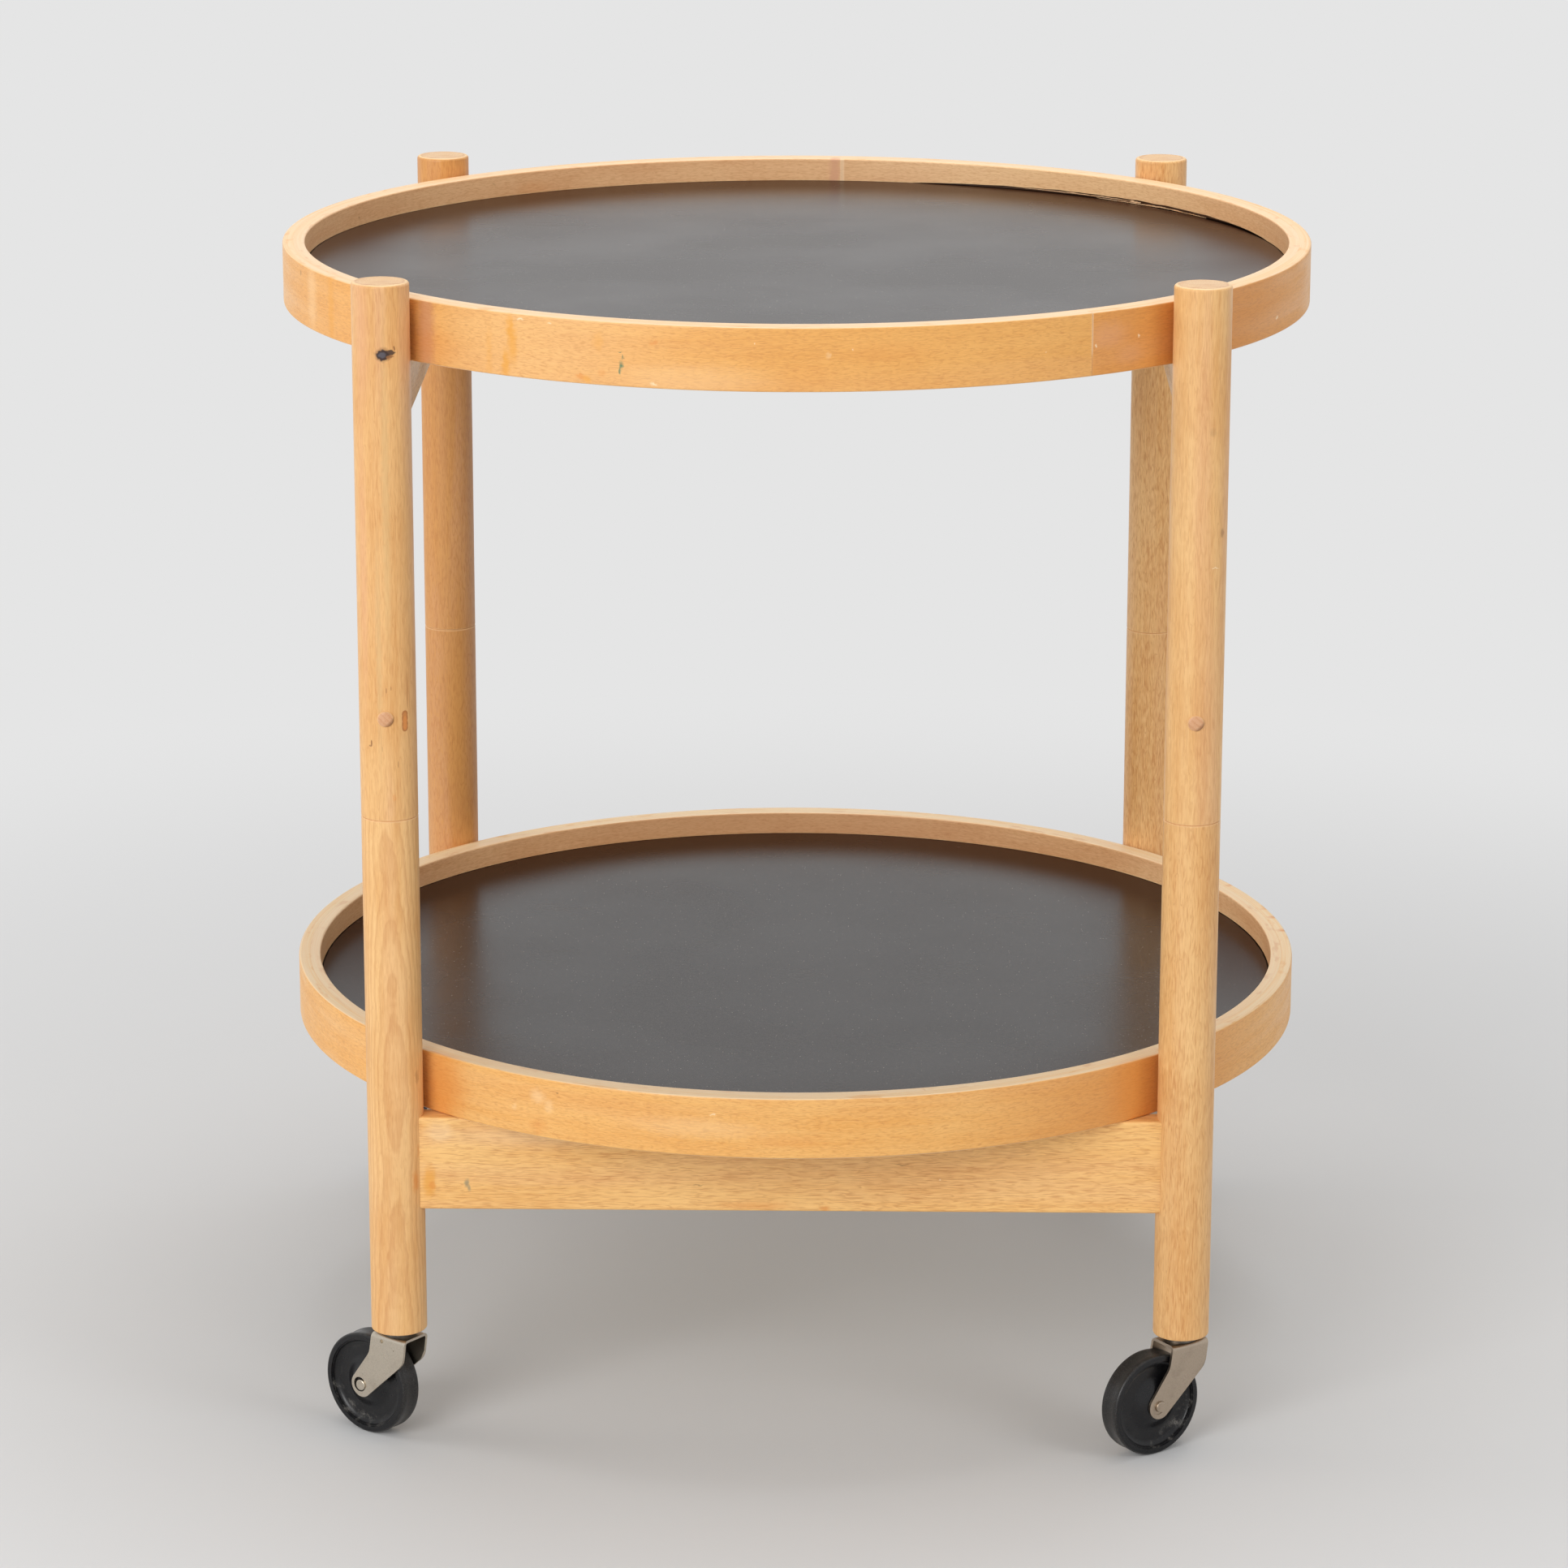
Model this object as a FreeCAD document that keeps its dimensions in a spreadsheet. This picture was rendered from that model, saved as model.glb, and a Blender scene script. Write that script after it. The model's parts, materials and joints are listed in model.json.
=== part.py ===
import FreeCAD, Part
import Sketcher
import math
import os

# Serving trolley with two round trays in a folding beech frame on four casters.
# Millimetres. X runs to the right, Y to the rear, Z up; the floor is Z = 0.
# The sheet below holds every driving size. A node is one physical piece.

HALF = 0.5
DOUBLE = 2
FULL_TURN = 360
HALF_TURN = 180
QUARTER_TURN = 90
CORNER_SHARE = math.sqrt(HALF)
LEFT, RIGHT, FRONT, REAR = -1, 1, -1, 1

ACROSS = FreeCAD.Vector(1, 0, 0)
REARWARD = FreeCAD.Vector(0, 1, 0)
UPWARD = FreeCAD.Vector(0, 0, 1)

# A sketch numbers an edge and its points in this order
SKETCH_POINTS = ("edge", "start", "end", "centre")

# Driving sizes

DRIVING_SIZES = {
    # trays
    "tray_diameter": 600,
    "tray_height": 35,
    "hoop_layer": 6.5,
    "hoop_edge_round": 1.2,
    "hoop_joint_gap": 0.2,
    "board_groove": 4,
    "core_thickness": 5.4,
    "laminate_thickness": 0.8,
    "laminate_fit": 0.15,
    "laminate_bevel": 0.25,
    "tray_leg_play": 1.5,
    "tray_rest_gap": 0.2,
    # frame
    "leg_diameter": 32,
    "leg_edge_round": 1.8,
    "leg_split_chamfer": 0.45,
    "leg_foot_round": 1,
    "lower_leg_length": 306,
    "upper_leg_length": 302,
    "split_gap": 0.3,
    "leg_above_rim": 11,
    "rail_thickness": 16,
    "rail_edge_round": 1.5,
    "front_rail_height": 55,
    "side_rail_height": 45,
    "lower_tray_rise": 129.5,
    "rail_dowel_diameter": 8,
    "rail_dowel_length": 40,
    "rail_dowel_chamfer": 0.8,
    "rail_dowel_in_leg": 13,
    "rail_dowel_edge": 12.5,
    # leg pivots
    "pivot_diameter": 16,
    "pivot_clearance": 0.3,
    "pivot_up": 78,
    "pivot_down": 50,
    "pivot_chamfer": 1.2,
    "peg_diameter": 9,
    "peg_rise": 59,
    "peg_groove_depth": 3,
    "peg_clearance": 0.4,
    "peg_head_proud": 1.2,
    "peg_dome_round": 3.2,
    # casters
    "wheel_diameter": 60,
    "wheel_width": 14,
    "wheel_rim_band": 4.2,
    "wheel_dish_depth": 2.6,
    "wheel_dish_slope": 1.2,
    "wheel_ledge": 0.8,
    "wheel_edge_round": 1.1,
    "tread_groove_width": 5,
    "tread_groove_depth": 0.7,
    "hub_diameter": 14,
    "hub_foot_diameter": 30,
    "hub_side_play": 0.4,
    "axle_diameter": 6.4,
    "axle_play": 0.3,
    "axle_head_proud": 1.1,
    "axle_head_round": 0.5,
    "axle_relief_diameter": 8.8,
    "fork_width": 20,
    "fork_sheet": 1.6,
    "fork_bend": 1.2,
    "fork_plate_length": 25.5,
    "fork_trail": 21.5,
    "fork_drop": 34.5,
    "fork_end_diameter": 14.8,
    "fork_shoulder_out": 2.2,
    "fork_shoulder_drop": 13,
    "fork_knee_in": 2,
    "fork_knee_drop": 15,
    "fork_corner_round": 6,
    "race_diameter": 19,
    "race_thickness": 2.3,
    "race_edge_round": 0.7,
    "swivel_clearance": 0.3,
    "stem_diameter": 8,
    "stem_length": 34,
    "stem_tip": 3,
    "stem_ring_groove": 0.6,
    "stem_ring_width": 2,
    "stem_head_diameter": 12,
    "stem_head_thickness": 1.4,
    "sleeve_wall": 1.3,
    "sleeve_length": 38,
    "sleeve_end": 1,
    "sleeve_flange_diameter": 22,
    "sleeve_flange_thickness": 0.9,
}

# Directions, in degrees counter-clockwise from +X seen from above

CASTER_TRAIL_ANGLES = {
    "front_left": 143,
    "front_right": 215,
    "rear_left": 158,
    "rear_right": 201,
}
INNER_JOINT_ANGLES = {"top": 85, "lower": 285}
OUTER_JOINT_ANGLES = {"top": 303, "lower": 112}

doc = FreeCAD.newDocument("ServingTrolley")
sheet = doc.addObject("Spreadsheet::Sheet", "Sizes")


class Size:
    """A length with the sheet formula that gives it."""

    def __init__(self, value, formula):
        self.value = value
        self.formula = formula

    def joined(self, sign, other, value):
        return Size(value, "(" + self.formula + " " + sign + " " + as_size(other).formula + ")")

    def __add__(self, other):
        return self.joined("+", other, self.value + as_size(other).value)

    def __sub__(self, other):
        return self.joined("-", other, self.value - as_size(other).value)

    def __mul__(self, other):
        return self.joined("*", other, self.value * as_size(other).value)

    def __neg__(self):
        return Size(-self.value, "(0 - " + self.formula + ")")


def as_size(number):
    if isinstance(number, Size):
        return number
    return Size(float(number), str(number))


def fill_sheet():
    for row, (name, number) in enumerate(DRIVING_SIZES.items(), start=1):
        sheet.set("A" + str(row), name)
        sheet.set("B" + str(row), str(number))
        sheet.setAlias("B" + str(row), name)
    doc.recompute()


def size(name):
    return Size(float(DRIVING_SIZES[name]), "Sizes." + name)


def half(length):
    return length * HALF


ORIGIN = as_size(0)

# Sizes worked out from the driving ones

tray_radius = half(size("tray_diameter"))
inner_hoop_radius = tray_radius - size("hoop_layer")
tray_opening_radius = inner_hoop_radius - size("hoop_layer")
board_thickness = size("core_thickness") + size("laminate_thickness") * DOUBLE
board_radius = tray_opening_radius + size("board_groove")
board_rise = half(size("tray_height") - board_thickness)

leg_radius = half(size("leg_diameter"))
leg_offset = (tray_radius + leg_radius + size("tray_leg_play")) * CORNER_SHARE
axle_height = half(size("wheel_diameter"))
fork_top = axle_height + size("fork_drop")
race_top = fork_top + size("race_thickness")
leg_base = race_top + size("swivel_clearance") + size("sleeve_flange_thickness")
split_height = leg_base + size("lower_leg_length")
upper_leg_base = split_height + size("split_gap")
leg_top = upper_leg_base + size("upper_leg_length")

front_rail_top = leg_base + size("lower_tray_rise")
front_rail_middle = front_rail_top - half(size("front_rail_height"))
lower_tray_base = front_rail_top + size("tray_rest_gap")
top_tray_base = leg_top - size("leg_above_rim") - size("tray_height")
side_rail_top = top_tray_base - size("tray_rest_gap")
side_rail_middle = side_rail_top - half(size("side_rail_height"))

pivot_radius = half(size("pivot_diameter"))
pivot_bore_radius = pivot_radius + size("pivot_clearance")
peg_radius = half(size("peg_diameter"))
peg_tip_reach = pivot_radius - size("peg_groove_depth") + size("peg_clearance")
fork_half_width = half(size("fork_width"))
axle_radius = half(size("axle_diameter"))
stem_radius = half(size("stem_diameter"))
sleeve_bore_radius = stem_radius + size("swivel_clearance")
sleeve_outer_radius = sleeve_bore_radius + size("sleeve_wall")


# Building helpers

def bind(target, name, length):
    setattr(target, name, length.value)
    target.setExpression(name, length.formula)


def new_body(name):
    body = doc.addObject("PartDesign::Body", name)
    body.Label = name
    return body


def new_sketch(body, name, plane):
    sketch = doc.addObject("Sketcher::SketchObject", name)
    body.addObject(sketch)
    planes = {feature.Role: feature for feature in body.Origin.OriginFeatures}
    sketch.AttachmentSupport = [(planes[plane], "")]
    sketch.MapMode = "FlatFace"
    return sketch


def point_number(word):
    return SKETCH_POINTS.index(word)


def constrain(sketch, kind, target, length):
    geometry, word = target
    rule = Sketcher.Constraint(kind, geometry, point_number(word), length.value)
    index = sketch.addConstraint(rule)
    sketch.setExpression("Constraints[" + str(index) + "]", length.formula)


def join_points(sketch, kind, one, other):
    """Coincident or tangent constraint between two edges' end points."""
    first, first_word = one
    second, second_word = other
    first_point = point_number(first_word)
    second_point = point_number(second_word)
    sketch.addConstraint(Sketcher.Constraint(kind, first, first_point, second, second_point))


def set_radius(sketch, index, radius):
    rule = sketch.addConstraint(Sketcher.Constraint("Radius", index, radius.value))
    sketch.setExpression("Constraints[" + str(rule) + "]", radius.formula)


def pin_point(sketch, target, across, up):
    constrain(sketch, "DistanceX", target, across)
    constrain(sketch, "DistanceY", target, up)


def draw_lines(sketch, corners):
    """Closed outline through the corners, each held by two bound distances."""
    count = len(corners)
    flat = [FreeCAD.Vector(across.value, up.value, 0) for across, up in corners]
    for index in range(count):
        following = (index + 1) % count
        sketch.addGeometry(Part.LineSegment(flat[index], flat[following]), False)
    for index in range(count):
        following = (index + 1) % count
        join_points(sketch, "Coincident", (index, "end"), (following, "start"))
    for index, (across, up) in enumerate(corners):
        pin_point(sketch, (index, "start"), across, up)


def draw_circles(sketch, centres, radius):
    for across, up in centres:
        middle = FreeCAD.Vector(across.value, up.value, 0)
        index = sketch.addGeometry(Part.Circle(middle, UPWARD, radius.value), False)
        pin_point(sketch, (index, "centre"), across, up)
        set_radius(sketch, index, radius)


def feature(body, kind, name):
    made = doc.addObject("PartDesign::" + kind, name)
    body.addObject(made)
    return made


def revolve(body, name, corners, axis="V_Axis", plane="XZ_Plane"):
    sketch = new_sketch(body, name + "_profile", plane)
    draw_lines(sketch, corners)
    turned = feature(body, "Revolution", name + "_turned")
    turned.Profile = sketch
    turned.ReferenceAxis = (sketch, [axis])
    turned.Angle = FULL_TURN
    doc.recompute()
    return turned


def drill(body, name, plane, centres, radius, depth, reverse):
    sketch = new_sketch(body, name + "_centres", plane)
    draw_circles(sketch, centres, radius)
    bore = feature(body, "Pocket", name)
    bore.Profile = sketch
    bore.Reversed = reverse
    bind(bore, "Length", depth)
    doc.recompute()
    return bore


def pad(body, name, sketch, length):
    solid = feature(body, "Pad", name)
    solid.Profile = sketch
    solid.SideType = "Symmetric"
    bind(solid, "Length", length)
    doc.recompute()
    return solid


def soften(body, kind, base, edges, length):
    """Fillet or chamfer of the edges that a test picks out."""
    names = []
    for index, edge in enumerate(base.Shape.Edges, start=1):
        if edges(edge):
            names.append("Edge" + str(index))
    softened = feature(body, kind, body.Name + "_" + kind.lower() + str(len(body.Group)))
    softened.Base = (base, names)
    bind(softened, "Radius" if kind == "Fillet" else "Size", length)
    doc.recompute()
    return softened


def near(one, other):
    tolerance = 0.01
    return abs(one - other) < tolerance


def ring_at(radius, height):
    """Test for a round edge of that radius at that height."""
    def test(edge):
        box = edge.BoundBox
        flat = near(box.ZMin, height.value) and near(box.ZMax, height.value)
        return flat and near(box.XLength, radius.value * DOUBLE)
    return test


def place(piece, across, depth, height, turn=0):
    spin = FreeCAD.Rotation(UPWARD, turn)
    where = FreeCAD.Vector(across.value, depth.value, height.value)
    piece.Placement = FreeCAD.Placement(where, spin)
    piece.setExpression(".Placement.Base.x", across.formula)
    piece.setExpression(".Placement.Base.y", depth.formula)
    piece.setExpression(".Placement.Base.z", height.formula)
    return piece


def side_name(side):
    return "left" if side == LEFT else "right"


def corner_name(side, end):
    return ("front_" if end == FRONT else "rear_") + side_name(side)


CORNERS = [(side, end) for end in (FRONT, REAR) for side in (LEFT, RIGHT)]
NODES = {}


def keep(name, piece):
    piece.Label = name
    NODES[name] = piece


# Frame: eight half legs, each with its bores

def upper_leg_turn(end):
    """The rail side of an upper leg looks along the trolley's depth."""
    return QUARTER_TURN if end == FRONT else -QUARTER_TURN


def lower_leg_turn(side):
    """The rail side of a lower leg looks across the trolley."""
    return 0 if side == LEFT else HALF_TURN


def rail_dowel_heights(rail_middle, rail_height):
    reach = half(rail_height) - size("rail_dowel_edge")
    return [rail_middle - reach, rail_middle + reach]


def upper_leg(side, end):
    name = "upper_leg_" + corner_name(side, end)
    body = new_body(name)
    length = size("upper_leg_length")
    chamfer = size("leg_split_chamfer")
    bore_top = size("pivot_up") + size("pivot_clearance")
    blank = revolve(body, name, [
        (pivot_bore_radius, ORIGIN),
        (leg_radius - chamfer, ORIGIN),
        (leg_radius, chamfer),
        (leg_radius, length),
        (ORIGIN, length),
        (ORIGIN, bore_top),
        (pivot_bore_radius, bore_top),
    ])
    soften(body, "Fillet", blank, ring_at(leg_radius, length), size("leg_edge_round"))
    heights = rail_dowel_heights(side_rail_middle - upper_leg_base, size("side_rail_height"))
    dowels = [(ORIGIN, height) for height in heights]
    dowel_radius = half(size("rail_dowel_diameter"))
    drill(body, name + "_rail_bores", "YZ_Plane", dowels, dowel_radius, leg_radius, True)
    peg = [(ORIGIN, size("peg_rise"))]
    drill(body, name + "_peg_bore", "YZ_Plane", peg, peg_radius, leg_radius, False)
    place(body, leg_offset * side, leg_offset * end, upper_leg_base, upper_leg_turn(end))
    keep(name, body)


def lower_leg(side, end):
    name = "lower_leg_" + corner_name(side, end)
    body = new_body(name)
    length = size("lower_leg_length")
    chamfer = size("leg_split_chamfer")
    socket_depth = size("sleeve_length")
    pivot_floor = length - size("pivot_down")
    blank = revolve(body, name, [
        (sleeve_outer_radius, ORIGIN),
        (leg_radius, ORIGIN),
        (leg_radius, length - chamfer),
        (leg_radius - chamfer, length),
        (pivot_radius, length),
        (pivot_radius, pivot_floor),
        (ORIGIN, pivot_floor),
        (ORIGIN, socket_depth),
        (sleeve_outer_radius, socket_depth),
    ])
    soften(body, "Fillet", blank, ring_at(leg_radius, ORIGIN), size("leg_foot_round"))
    heights = rail_dowel_heights(front_rail_middle - leg_base, size("front_rail_height"))
    dowels = [(ORIGIN, height) for height in heights]
    dowel_radius = half(size("rail_dowel_diameter"))
    drill(body, name + "_rail_bores", "YZ_Plane", dowels, dowel_radius, leg_radius, True)
    place(body, leg_offset * side, leg_offset * end, leg_base, lower_leg_turn(side))
    keep(name, body)


def pivot_dowel(side, end):
    """Glued in the lower leg; the upper leg turns on it and the peg runs in its groove."""
    name = "pivot_dowel_" + corner_name(side, end)
    body = new_body(name)
    chamfer = size("pivot_chamfer")
    top = size("pivot_up")
    foot = -size("pivot_down")
    groove_half = peg_radius + size("peg_clearance")
    peg_height = size("peg_rise") + size("split_gap")
    groove_radius = pivot_radius - size("peg_groove_depth")
    revolve(body, name, [
        (ORIGIN, foot),
        (pivot_radius - chamfer, foot),
        (pivot_radius, foot + chamfer),
        (pivot_radius, peg_height - groove_half),
        (groove_radius, peg_height - groove_half),
        (groove_radius, peg_height + groove_half),
        (pivot_radius, peg_height + groove_half),
        (pivot_radius, top - chamfer),
        (pivot_radius - chamfer, top),
        (ORIGIN, top),
    ])
    place(body, leg_offset * side, leg_offset * end, split_height)
    keep(name, body)


def pivot_peg(side, end):
    """Domed cross peg, glued in the outer face of the upper leg."""
    name = "pivot_peg_" + corner_name(side, end)
    body = new_body(name)
    head = leg_radius + size("peg_head_proud")
    blank = revolve(body, name, [
        (peg_tip_reach, ORIGIN),
        (head, ORIGIN),
        (head, peg_radius),
        (peg_tip_reach, peg_radius),
    ], axis="H_Axis")

    def head_edge(edge):
        box = edge.BoundBox
        return near(box.XMin, head.value) and near(box.XMax, head.value)

    soften(body, "Fillet", blank, head_edge, size("peg_dome_round"))
    outward = QUARTER_TURN * end
    height = upper_leg_base + size("peg_rise")
    place(body, leg_offset * side, leg_offset * end, height, outward)
    keep(name, body)


# Rails, their ends hollowed to fit the round legs, and their dowels

def rail_blank(name, height):
    body = new_body(name + "_blank")
    half_height = half(height)
    half_thickness = half(size("rail_thickness"))
    section = new_sketch(body, name + "_section", "YZ_Plane")
    draw_lines(section, [
        (-half_thickness, -half_height),
        (half_thickness, -half_height),
        (half_thickness, half_height),
        (-half_thickness, half_height),
    ])
    plank = pad(body, name + "_plank", section, leg_offset * DOUBLE)

    def long_edge(edge):
        return edge.BoundBox.XLength > leg_offset.value

    soften(body, "Fillet", plank, long_edge, size("rail_edge_round"))
    ends = new_sketch(body, name + "_ends", "XY_Plane")
    draw_circles(ends, [(-leg_offset, ORIGIN), (leg_offset, ORIGIN)], leg_radius)
    hollow = feature(body, "Pocket", name + "_hollow")
    hollow.Profile = ends
    hollow.SideType = "Symmetric"
    bind(hollow, "Length", height * DOUBLE)
    doc.recompute()
    return body


def rail_dowels(name, height):
    """Four dowels, two at each end of a rail, in the rail's own frame."""
    dowels = []
    reach = half(height) - size("rail_dowel_edge")
    inner_end = leg_offset - leg_radius + size("rail_dowel_in_leg") - size("rail_dowel_length")
    for side in (LEFT, RIGHT):
        for level in (LEFT, RIGHT):
            row = "_low" if level == LEFT else "_high"
            pin = doc.addObject("Part::Cylinder", name + "_" + side_name(side) + row)
            bind(pin, "Radius", half(size("rail_dowel_diameter")))
            bind(pin, "Height", size("rail_dowel_length"))
            along = FreeCAD.Rotation(REARWARD, QUARTER_TURN * side)
            start = FreeCAD.Vector(inner_end.value * side, 0, reach.value * level)
            pin.Placement = FreeCAD.Placement(start, along)
            pin.setExpression(".Placement.Base.x", (inner_end * side).formula)
            pin.setExpression(".Placement.Base.z", (reach * level).formula)
            ends = doc.addObject("Part::Chamfer", pin.Name + "_ends")
            ends.Base = pin
            doc.recompute()
            chamfer = DRIVING_SIZES["rail_dowel_chamfer"]
            rings = []
            for index, edge in enumerate(pin.Shape.Edges, start=1):
                if near(edge.BoundBox.XLength, 0):
                    rings.append((index, chamfer, chamfer))
            ends.Edges = rings
            dowels.append(ends)
    group = doc.addObject("Part::Compound", name)
    group.Links = dowels
    doc.recompute()
    return group


def rail(name, height, middle, across, depth, turn):
    dowel_set = rail_dowels(name + "_dowel_set", height)
    bored = doc.addObject("Part::Cut", name)
    bored.Base = rail_blank(name, height)
    bored.Tool = dowel_set
    dowels = doc.addObject("Part::Compound", name + "_dowels")
    dowels.Links = [dowel_set]
    place(bored, across, depth, middle, turn)
    place(dowels, across, depth, middle, turn)
    keep(name, bored)
    keep(name + "_dowels", dowels)
    doc.recompute()


def rails():
    front_height = size("front_rail_height")
    side_height = size("side_rail_height")
    rail("front_rail", front_height, front_rail_middle, ORIGIN, leg_offset * FRONT, 0)
    rail("rear_rail", front_height, front_rail_middle, ORIGIN, leg_offset * REAR, 0)
    rail("left_rail", side_height, side_rail_middle, leg_offset * LEFT, ORIGIN, QUARTER_TURN)
    rail("right_rail", side_height, side_rail_middle, leg_offset * RIGHT, ORIGIN, QUARTER_TURN)


# Trays: two bent hoops glued one in the other round a laminated board

def joint_cut(name, angle):
    """Thin radial block that leaves the butt joint of a bent strip open."""
    block = doc.addObject("Part::Box", name)
    reach = size("hoop_layer") * DOUBLE * DOUBLE
    bind(block, "Length", reach)
    bind(block, "Width", size("hoop_joint_gap"))
    bind(block, "Height", size("tray_height"))
    root = tray_opening_radius - size("hoop_layer")
    spin = FreeCAD.Rotation(UPWARD, angle)
    start = spin.multVec(ACROSS * root.value)
    block.Placement = FreeCAD.Placement(start, spin)
    block.setExpression(".Placement.Base.x", root.formula + " * cos(" + str(angle) + ")")
    block.setExpression(".Placement.Base.y", root.formula + " * sin(" + str(angle) + ")")
    return block


def cut_joint(name, hoop, angle, base):
    block = joint_cut(name + "_saw_cut", angle)
    open_hoop = doc.addObject("Part::Cut", name)
    open_hoop.Base = hoop
    open_hoop.Tool = block
    place(open_hoop, ORIGIN, ORIGIN, base)
    keep(name, open_hoop)
    doc.recompute()


def outer_hoop(level, base):
    name = level + "_tray_outer_hoop"
    body = new_body(name + "_ring")
    height = size("tray_height")
    ring = revolve(body, name, [
        (inner_hoop_radius, ORIGIN),
        (tray_radius, ORIGIN),
        (tray_radius, height),
        (inner_hoop_radius, height),
    ])
    lower = ring_at(tray_radius, ORIGIN)
    upper = ring_at(tray_radius, height)
    both = soften(body, "Fillet", ring, lambda edge: lower(edge) or upper(edge),
                  size("hoop_edge_round"))
    both.Label = name + "_round_edges"
    cut_joint(name, body, OUTER_JOINT_ANGLES[level], base)


def inner_hoop(level, base):
    name = level + "_tray_inner_hoop"
    body = new_body(name + "_ring")
    height = size("tray_height")
    groove_top = board_rise + board_thickness
    ring = revolve(body, name, [
        (tray_opening_radius, ORIGIN),
        (inner_hoop_radius, ORIGIN),
        (inner_hoop_radius, height),
        (tray_opening_radius, height),
        (tray_opening_radius, groove_top),
        (board_radius, groove_top),
        (board_radius, board_rise),
        (tray_opening_radius, board_rise),
    ])
    lower = ring_at(tray_opening_radius, ORIGIN)
    upper = ring_at(tray_opening_radius, height)
    both = soften(body, "Fillet", ring, lambda edge: lower(edge) or upper(edge),
                  size("hoop_edge_round"))
    both.Label = name + "_round_edges"
    cut_joint(name, body, INNER_JOINT_ANGLES[level], base)


def disc(name, radius, thickness, base):
    body = new_body(name)
    plate = revolve(body, name, [
        (ORIGIN, ORIGIN),
        (radius, ORIGIN),
        (radius, thickness),
        (ORIGIN, thickness),
    ])
    plate.Label = name + "_disc"
    place(body, ORIGIN, ORIGIN, base)
    keep(name, body)


def dark_laminate(name, radius, base):
    """Upper skin, bevelled where it enters the groove so that its face ends at the hoop."""
    body = new_body(name)
    skin = size("laminate_thickness")
    face_radius = tray_opening_radius - size("laminate_fit")
    plate = revolve(body, name, [
        (ORIGIN, ORIGIN),
        (radius, ORIGIN),
        (radius, skin - size("laminate_bevel")),
        (face_radius, skin),
        (ORIGIN, skin),
    ])
    plate.Label = name + "_disc"
    place(body, ORIGIN, ORIGIN, base)
    keep(name, body)


def tray(level, base):
    outer_hoop(level, base)
    inner_hoop(level, base)
    skin = size("laminate_thickness")
    core = size("core_thickness")
    skin_radius = board_radius - size("laminate_fit")
    disc(level + "_tray_pale_laminate", skin_radius, skin, base + board_rise)
    disc(level + "_tray_core_board", board_radius, core, base + board_rise + skin)
    dark_laminate(level + "_tray_dark_laminate", skin_radius, base + board_rise + skin + core)


# Casters: socket, stem, race, fork, axle and wheel

def at_corner(piece, side, end, height, turn=0):
    place(piece, leg_offset * side, leg_offset * end, height, turn)


def caster_socket(side, end):
    name = "caster_socket_" + corner_name(side, end)
    body = new_body(name)
    flange = size("sleeve_flange_thickness")
    depth = size("sleeve_length")
    roof = depth - size("sleeve_end")
    revolve(body, name, [
        (sleeve_bore_radius, -flange),
        (half(size("sleeve_flange_diameter")), -flange),
        (half(size("sleeve_flange_diameter")), ORIGIN),
        (sleeve_outer_radius, ORIGIN),
        (sleeve_outer_radius, depth),
        (ORIGIN, depth),
        (ORIGIN, roof),
        (sleeve_bore_radius, roof),
    ])
    at_corner(body, side, end, leg_base)
    keep(name, body)


def caster_stem(side, end, turn):
    """Pin riveted through the fork plate, with a grip ring groove near its tip."""
    name = "caster_stem_" + corner_name(side, end)
    body = new_body(name)
    tip = size("stem_tip")
    length = size("stem_length")
    sheet_thickness = size("fork_sheet")
    head = size("stem_head_thickness")
    ring_top = length - tip * DOUBLE
    ring_low = ring_top - size("stem_ring_width")
    neck = stem_radius - size("stem_ring_groove")
    revolve(body, name, [
        (ORIGIN, -(sheet_thickness + head)),
        (half(size("stem_head_diameter")) - head, -(sheet_thickness + head)),
        (half(size("stem_head_diameter")), -sheet_thickness),
        (stem_radius, -sheet_thickness),
        (stem_radius, ring_low),
        (neck, ring_low),
        (neck, ring_top),
        (stem_radius, ring_top),
        (stem_radius, length - tip),
        (half(stem_radius), length),
        (ORIGIN, length),
    ])
    at_corner(body, side, end, fork_top, turn)
    keep(name, body)


def caster_race(side, end, turn):
    name = "caster_race_" + corner_name(side, end)
    body = new_body(name)
    radius = half(size("race_diameter"))
    thickness = size("race_thickness")
    ring = revolve(body, name, [
        (stem_radius, ORIGIN),
        (radius, ORIGIN),
        (radius, thickness),
        (stem_radius, thickness),
    ])
    soften(body, "Fillet", ring, ring_at(radius, thickness), size("race_edge_round"))
    at_corner(body, side, end, fork_top, turn)
    keep(name, body)


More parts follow.
